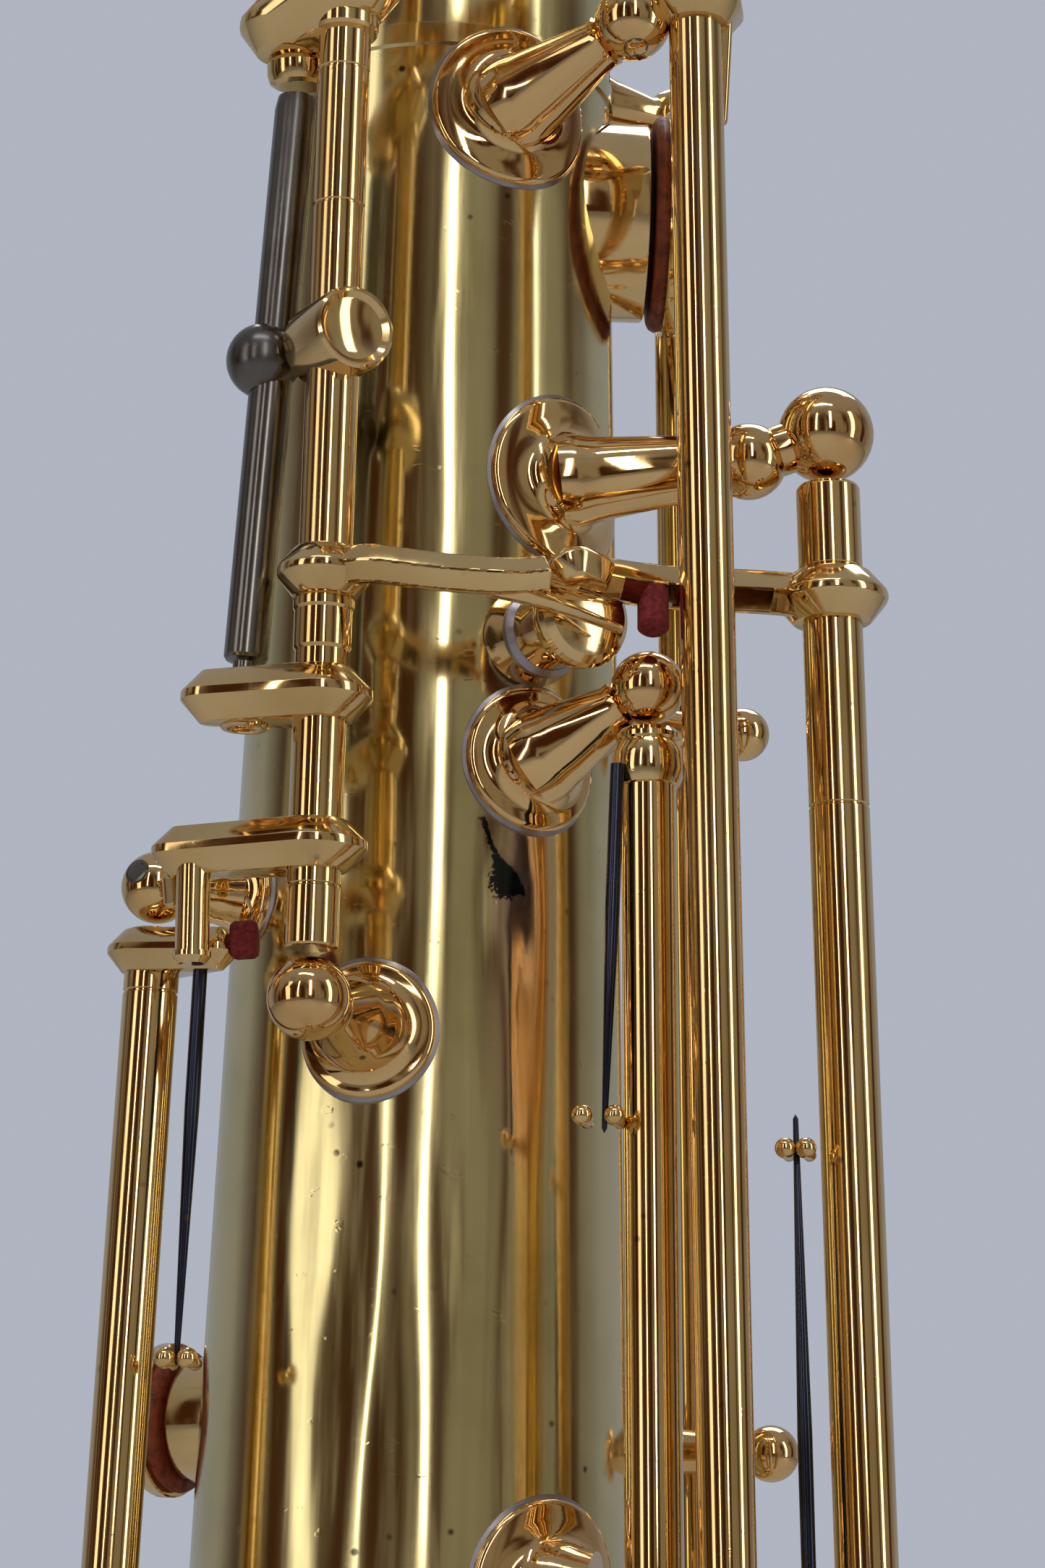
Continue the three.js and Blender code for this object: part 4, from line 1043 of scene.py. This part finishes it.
# %% [markdown]
# ## Needle springs and their cradles
# Each key is thrown back by a needle of blued steel driven through a post. Its tip rests in
# a cradle, a small hook brazed to the hinge tube.

# %% Needle springs and their cradles
def spring(a, b, hooks, body):
    finished(f"spring_at_{round(a.z)}_{body[:12]}", spring_needle(a, b), blued_steel, "horn")
    pins = [gather([globe(h, 0.62, UP, 24), collar(h, h + V(0.4, 1.6, -0.3), 0.4, 0.1)]) for h in hooks]
    finished(f"cradle_at_{round(b.z)}_{body[:12]}", gather(pins), yellow_brass, body)


spring(V(11.5, -14.6, 427.2), V(11.0, -15.2, 405.2), [V(9.7, -15.6, 406.2), V(11.6, -15.7, 406.2)],
       "key_side_b_flat_body")
spring(V(23.3, -11.5, 376), V(22.35, -11.5, 407), [V(21.7, -12.1, 404.9), V(22.9, -12.3, 404.9)],
       "octave_vent_key_body")
spring(V(-12.9, -12.6, 416.6), V(-13.3, -13.5, 391.6), [V(-13.9, -14.2, 392), V(-12.6, -14.2, 392)],
       "g_link_body")
print("three springs with cradles")

# %% [markdown]
# ## Strap ring, thumb hook, thumb rest, saddle and guard
# These are the player's own contact points. The strap ring is wire bent round and soldered
# to a plate; the hook is bent strip; the rest is a turned button; the guard stops the open
# low cups from being knocked.

# %% Strap ring, thumb hook, thumb rest, saddle and guard
across = V(1, 0, 0)
ring_centre = at(270, 6.8, 358)
ring_profile = arc((0, 4.6), 1.1, 0, 360, 20)
eye = turned(ring_centre, ring_centre + across, [*ring_profile[:-1], ring_profile[0]], 48)
strap_plate = wrapped(turned(V(0, 0, -0.2), V(0, 0, 1), [
    (0, 0), (0, 5.1), (0.8, 5.1), (1.05, 4.9), (1.15, 4.2), (1.2, 0)], 48), 270, 358)
stem = spun_out(270, 0.5, 358, [(0, 0), (0, 2.3), (1, 1.9), (2.1, 1.5), (2.1, 0)], 32)
finished("strap_ring_wire", gather([eye, strap_plate, stem]), red_brass, "horn", ["strap_ring"])


def wrapped_plate(bearing, z, wide, tall, low, high):
    bm = bmesh.new()
    bmesh.ops.create_grid(bm, x_segments=12, y_segments=8, size=0.5)
    for vert in bm.verts:
        vert.co = V(vert.co.x * wide, vert.co.y * tall, low)
    bmesh.ops.solidify(bm, geom=bm.faces[:], thickness=low - high)
    bmesh.ops.recalc_face_normals(bm, faces=bm.faces)
    round_edges(bm, 0.3, angle=60)
    return wrapped(bm, bearing, z)


hook_path = [at(270, 1, 326), at(270, 9, 326), at(270, 16, 323.4), at(270, 19, 314.2)]
lacquered("thumb_hook_strip", gather([wrapped_plate(270, 322, 9, 18, 0.3, 1.7),
                                      strap(hook_path, 8, 1.9, across, 1, 0.6, 8)]), ["thumb_hook"])
lacquered("thumb_rest_button", spun_out(236, 0.2, 505, [
    (0, 0), (0, 3.5), (0.7, 3.3), (1.6, 3.5), (3.3, 4.5), (3.8, 4.78), (4.2, 4.7), (4.4, 4.3),
    (4.4, 0)], 56), ["thumb_rest"])


def guard_work(bearing, low, high, above):
    shapes = []
    for z in (low, high):
        foot, top = at(bearing, 0.3, z), at(bearing, above, z)
        length = (top - foot).length
        shapes.append(turned(foot, top, [
            (0, 0), (0, 2.5), (0.5, 2.4), (0.9, 1.7), (1.6, 1.3), (length, 1.3), (length, 0)], 32))
    side = V(-outward(bearing).y, outward(bearing).x, 0)
    shapes.append(strap([at(bearing, above, low - 1.5), at(bearing, above, high + 1.5)], 4.6, 1.5, side,
                        1, 0.45))
    middle = (low + high) / 2
    shapes.append(collar(at(bearing, above - 1.6, middle), at(bearing, above + 1.2, middle), 3, 0.35))
    return gather(shapes)


lacquered("guard_low_b_work", guard_work(130, 95.2, 146.2, 13.6), ["guard_low_b"])
stop = at(130, 11.95, 120.7)
finished("guard_felt", collar(stop - outward(130) * 1.0, stop + outward(130) * 0.1, 2.4, 0.2), red_felt,
         "horn")
print("player's contact points made")

# %% [markdown]
# ## Cork, mouthpiece, reed and ligature
# The mouthpiece is turned from hard rubber, then the table, beak, window and bore are cut
# with plain cutters, as a mill would. A bevel softens the cut edges before the metal band
# and the cane reed go on.

# %% Cork, mouthpiece, reed and ligature
cork_ring = [(0, 7.0), (0.3, 7.25), (22.8, 7.3), (23.5, 7.1), (23.6, 6.4), (0, 6.4), (0, 7.0)]
finished("neck_cork_sleeve", turned(UP * 628, UP * 652, cork_ring, 96), neck_cork, "horn", ["neck_cork"])


def box_shape(size, centre, tilt=0):
    bm = bmesh.new()
    bmesh.ops.create_cube(bm, size=1)
    bmesh.ops.scale(bm, vec=V(*size), verts=bm.verts)
    turn = Matrix.Translation(V(*centre)) @ Matrix.Rotation(math.radians(tilt), 4, "X")
    bmesh.ops.transform(bm, matrix=turn, verts=bm.verts)
    return bm


def cut(piece, cutter):
    """Cuts one bmesh out of a finished piece and leaves the result in its mesh."""
    bmesh.ops.scale(cutter, vec=V(0.001, 0.001, 0.001), verts=cutter.verts)
    mesh = bpy.data.meshes.new("cutter")
    cutter.to_mesh(mesh)
    cutter.free()
    knife = bpy.data.objects.new("cutter", mesh)
    bpy.context.scene.collection.objects.link(knife)
    boolean = piece.modifiers.new("cut", "BOOLEAN")
    boolean.operation = "DIFFERENCE"
    boolean.solver = "EXACT"
    boolean.object = knife
    graph = bpy.context.evaluated_depsgraph_get()
    result = bpy.data.meshes.new_from_object(piece.evaluated_get(graph))
    piece.modifiers.clear()
    old, piece.data = piece.data, result
    result.name = old.name + "_cut"
    bpy.data.meshes.remove(old)
    bpy.data.objects.remove(knife)
    bpy.data.meshes.remove(mesh)


blank = turned(UP * 634, UP * 701, [
    (0, 0), (0, 9.1), (0.3, 9.4), (1.6, 9.55), (3, 9.9), (4, 9.93), (10, 10.15), (16, 10.3), (30, 10.02),
    (44, 9.7), (66, 8.3), (66, 0)], 128)
mouthpiece = finished("mouthpiece_body", blank, hard_rubber, "horn", ["mouthpiece"], 40)
cut(mouthpiece, box_shape((40, 20, 60), (0, -17.9, 676)))
cut(mouthpiece, box_shape((40, 30, 80), (0, 22.4, 698), 25))
cut(mouthpiece, box_shape((7.6, 14, 28), (0, -7.9, 682)))
cut(mouthpiece, turned(UP * 633, UP * 652.6, [(0, 0), (0, 7.65), (19.6, 7.65), (19.6, 0)], 96))
cut(mouthpiece, turned(UP * 652, V(0, -2, 675), [(0, 0), (0, 5.2), (23, 3.8), (23, 0)], 64))
soft = mouthpiece.modifiers.new("soft edges", "BEVEL")
soft.width, soft.segments, soft.angle_limit = 0.0003, 3, math.radians(35)
mouthpiece.data.polygons.foreach_set("use_smooth", [True] * len(mouthpiece.data.polygons))
mouthpiece.data.set_sharp_from_angle(angle=math.radians(40))


def reed_shape():
    bm = bmesh.new()
    steps = [(648, 2.1), (660, 2.1), (673, 2.1), (675, 1.8), (680, 1.35), (688, 0.82),
             (695, 0.45), (700.1, 0.22)]
    rows = []
    for z, thick in steps:
        tip = max(0, (z - 696) / 4.2)
        wide = 5.7 - 0.55 * tip ** 2
        rows.append([bm.verts.new(V(wide * t / 6, -8.22, z)) for t in range(-6, 7)])
        for t in range(6, -7, -1):
            x = wide * t / 6
            crown = math.sqrt(max(0, 1 - (x / 10.2) ** 2)) * 10.2 - 10.2
            rows[-1].append(bm.verts.new(V(x, -8.2 - max(0.12, thick + crown), z)))
    for lower, upper in zip(rows, rows[1:]):
        rims = []
        for row in (lower, upper):
            for pair in zip(row, row[1:] + row[:1]):
                rims.append(bm.edges.get(pair) or bm.edges.new(pair))
        bmesh.ops.bridge_loops(bm, edges=rims)
    for row in (rows[0], rows[-1]):
        bm.faces.new(row)
    bmesh.ops.recalc_face_normals(bm, faces=bm.faces)
    return bm


finished("cane_reed", reed_shape(), bare_cane, "horn", ["reed"], 50)


SCREW_HEIGHTS = {"low": 661, "high": 669}


def ligature_band():
    band = turned(UP * 656, UP * 674, [
        (0, 10.8), (0, 11.35), (0.3, 11.5), (1.6, 11.5), (1.8, 11.3), (2.2, 11.3), (2.4, 11.5),
        (15.6, 11.5), (15.8, 11.3), (16.2, 11.3), (16.4, 11.5), (17.7, 11.5), (18, 11.35), (18, 10.8),
        (0, 10.8)], 128)
    doomed = [f for f in band.faces
              if abs(f.calc_center_median().x) < 0.9 and f.calc_center_median().y < 0]
    bmesh.ops.delete(band, geom=doomed, context="FACES")
    heights = SCREW_HEIGHTS.values()
    lugs = [collar(V(x, -17, z), V(x + 2.1, -17, z), 2.0, 0.3) for z in heights for x in (-3.6, 1.2)]
    feet = [strap([V(x, -11.3, z), V(x, -16.4, z)], 3.4, 1.5, UP, 0.9)
            for z in heights for x in (-2.2, 2.2)]
    return gather([band, *lugs, *feet])


lacquered("ligature_band", ligature_band(), ["ligature"])
for label, z in SCREW_HEIGHTS.items():
    a, b = V(-3.8, -17, z), V(9.4, -17, z)
    shape = turned(a, b, [(0, 0), (0, 1.1), (11, 1.1), (11, 2.3), (11.25, 2.55), (12.9, 2.55),
                          (13.15, 2.3), (13.15, 0)])
    lacquered(f"ligature_screw_{label}_turned", shape, [f"ligature_screw_{label}"])
print("mouthpiece end made")

# %% [markdown]
# ## Solder lines and screws
# Lead-grey solder shows as a thin line round each post's foot. The slotted ends of the pivot
# screws show in the posts' balls, and the rocker's screw under its bracket.

# %% Solder lines and pivot screws
finished("solder_lines", gather(solder_lines), grey_solder, "horn")
screws = []
for ball, radius, way in ((near_ball, 2.15, V(0.1, -0.35, -1)), (lever_ball, 2.3, V(0.1, -0.4, -1)),
                          (link_ball, 2.25, V(-0.5, -0.8, 0.3))):
    way = way.normalized()
    screws.append(turned(ball + way * (radius - 0.25), ball + way * (radius + 0.07), [
        (0, 0), (0, 0.78), (0.22, 0.78), (0.26, 0.6), (0.2, 0.55), (0.2, 0)], 28))
finished("pivot_screws", gather(screws), dark_steel, "horn")
screw_seat = V(-10.5, -17.0, 428.5)
finished("rocker_screw", turned(screw_seat + UP * 0.4, screw_seat, [
    (0, 0), (0, 1.0), (0.36, 1.0), (0.42, 0.85), (0.3, 0.5), (0.3, 0)], 32),
    dark_steel, "octave_carriage_body")
print("small parts made")

# %% [markdown]
# ## Floor, light and camera
# A pale floor and a soft grey-blue surround, lit through tall soft panels. Polished brass
# shows its surroundings more than its own colour, so the panels are narrow and the space
# between them is darker: that gives each rod its bright line and dark edges.

# %% Floor, light and camera
def plain(name, colour, rough):
    material, tree, shader, place = new_material(name)
    shade = remap(tree, noise_node(tree, place, 3, 2), 0.3, 0.7)
    soft_colour = tuple(c * 0.96 for c in colour)
    tree.links.new(colour_mix(tree, shade, colour, soft_colour), shader.inputs["Base Color"])
    shader.inputs["Roughness"].default_value = rough
    return material


bm = bmesh.new()
bmesh.ops.create_grid(bm, x_segments=1, y_segments=1, size=3)
floor_mesh = bpy.data.meshes.new("floor")
bm.to_mesh(floor_mesh)
bm.free()
floor = bpy.data.objects.new("floor", floor_mesh)
floor_mesh.materials.append(plain("pale_floor", (0.60, 0.59, 0.58), 0.7))
bpy.context.scene.collection.objects.link(floor)

world = bpy.data.worlds.new("studio")
bpy.context.scene.world = world
world.use_nodes = True
sky = world.node_tree
facing = sky.nodes.new("ShaderNodeTexCoord").outputs["Generated"]
parts_of = sky.nodes.new("ShaderNodeSeparateXYZ")
sky.links.new(facing, parts_of.inputs[0])
bands = remap(sky, noise_node(sky, stretched(sky, facing, (1, 1, 0.2)), 3.1, 1.5, 0.6), 0.44, 0.6)
room = colour_mix(sky, bands, (0.050, 0.018, 0.006), (0.25, 0.235, 0.195))
ceiling = remap(sky, parts_of.outputs["Z"], 0.35, 0.9)
room = colour_mix(sky, ceiling, room, (0.30, 0.31, 0.33))
beyond = remap(sky, parts_of.outputs["Y"], 0.05, 0.6)
room = colour_mix(sky, beyond, room, (0.29, 0.305, 0.34))
seen = sky.nodes.new("ShaderNodeLightPath").outputs["Is Camera Ray"]
sky.links.new(colour_mix(sky, seen, room, (0.43, 0.46, 0.53)), sky.nodes["Background"].inputs["Color"])


def panel(name, place, target, size, power, colour):
    light = bpy.data.lights.new(name, "AREA")
    light.shape = "RECTANGLE"
    light.size, light.size_y = size
    light.energy = power
    light.color = colour
    lamp = bpy.data.objects.new(name, light)
    lamp.location = place
    lamp.rotation_euler = (Vector(target) - Vector(place)).to_track_quat("-Z", "Y").to_euler()
    bpy.context.scene.collection.objects.link(lamp)
    return lamp


panel("left_window", (-1.3, -0.9, 0.8), (0, 0, 0.42), (0.36, 1.3), 2.1, (1.0, 0.98, 0.94))
panel("left_strip", (-0.7, -1.4, 0.9), (0, 0, 0.42), (0.06, 1.2), 1.5, (1.0, 0.98, 0.95))
panel("front_strip", (0.18, -1.5, 1.0), (0, 0, 0.42), (0.13, 1.2), 2.9, (1.0, 0.98, 0.95))
panel("right_window", (1.25, -0.65, 0.8), (0, 0, 0.42), (0.24, 1.4), 3.4, (0.96, 0.98, 1.0))
panel("ceiling_row", (-0.2, -0.9, 2.1), (0, 0, 0.42), (1.1, 0.12), 4.5, (0.97, 0.98, 1.0))
panel("high_back", (0.2, 0.9, 1.9), (0, 0, 0.42), (1.2, 0.7), 9, (0.95, 0.97, 1.0))

camera_data = bpy.data.cameras.new("camera")
camera_data.sensor_fit = "VERTICAL"
camera_data.sensor_height = 36
camera_data.lens = 74.7
camera_data.clip_start = 0.005
camera = bpy.data.objects.new("camera", camera_data)
look = V(0, 0.9763, 0.21644)
right, top = V(0.9998, -0.00431, 0.01942), V(-0.0199, -0.2164, 0.9761)
camera.matrix_world = Matrix.Translation(V(0.005884, -0.202802, 0.38416)) @ Matrix(
    (right, top, -look)).transposed().to_4x4()
bpy.context.scene.collection.objects.link(camera)
bpy.context.scene.camera = camera
bpy.context.scene.view_settings.view_transform = "Standard"
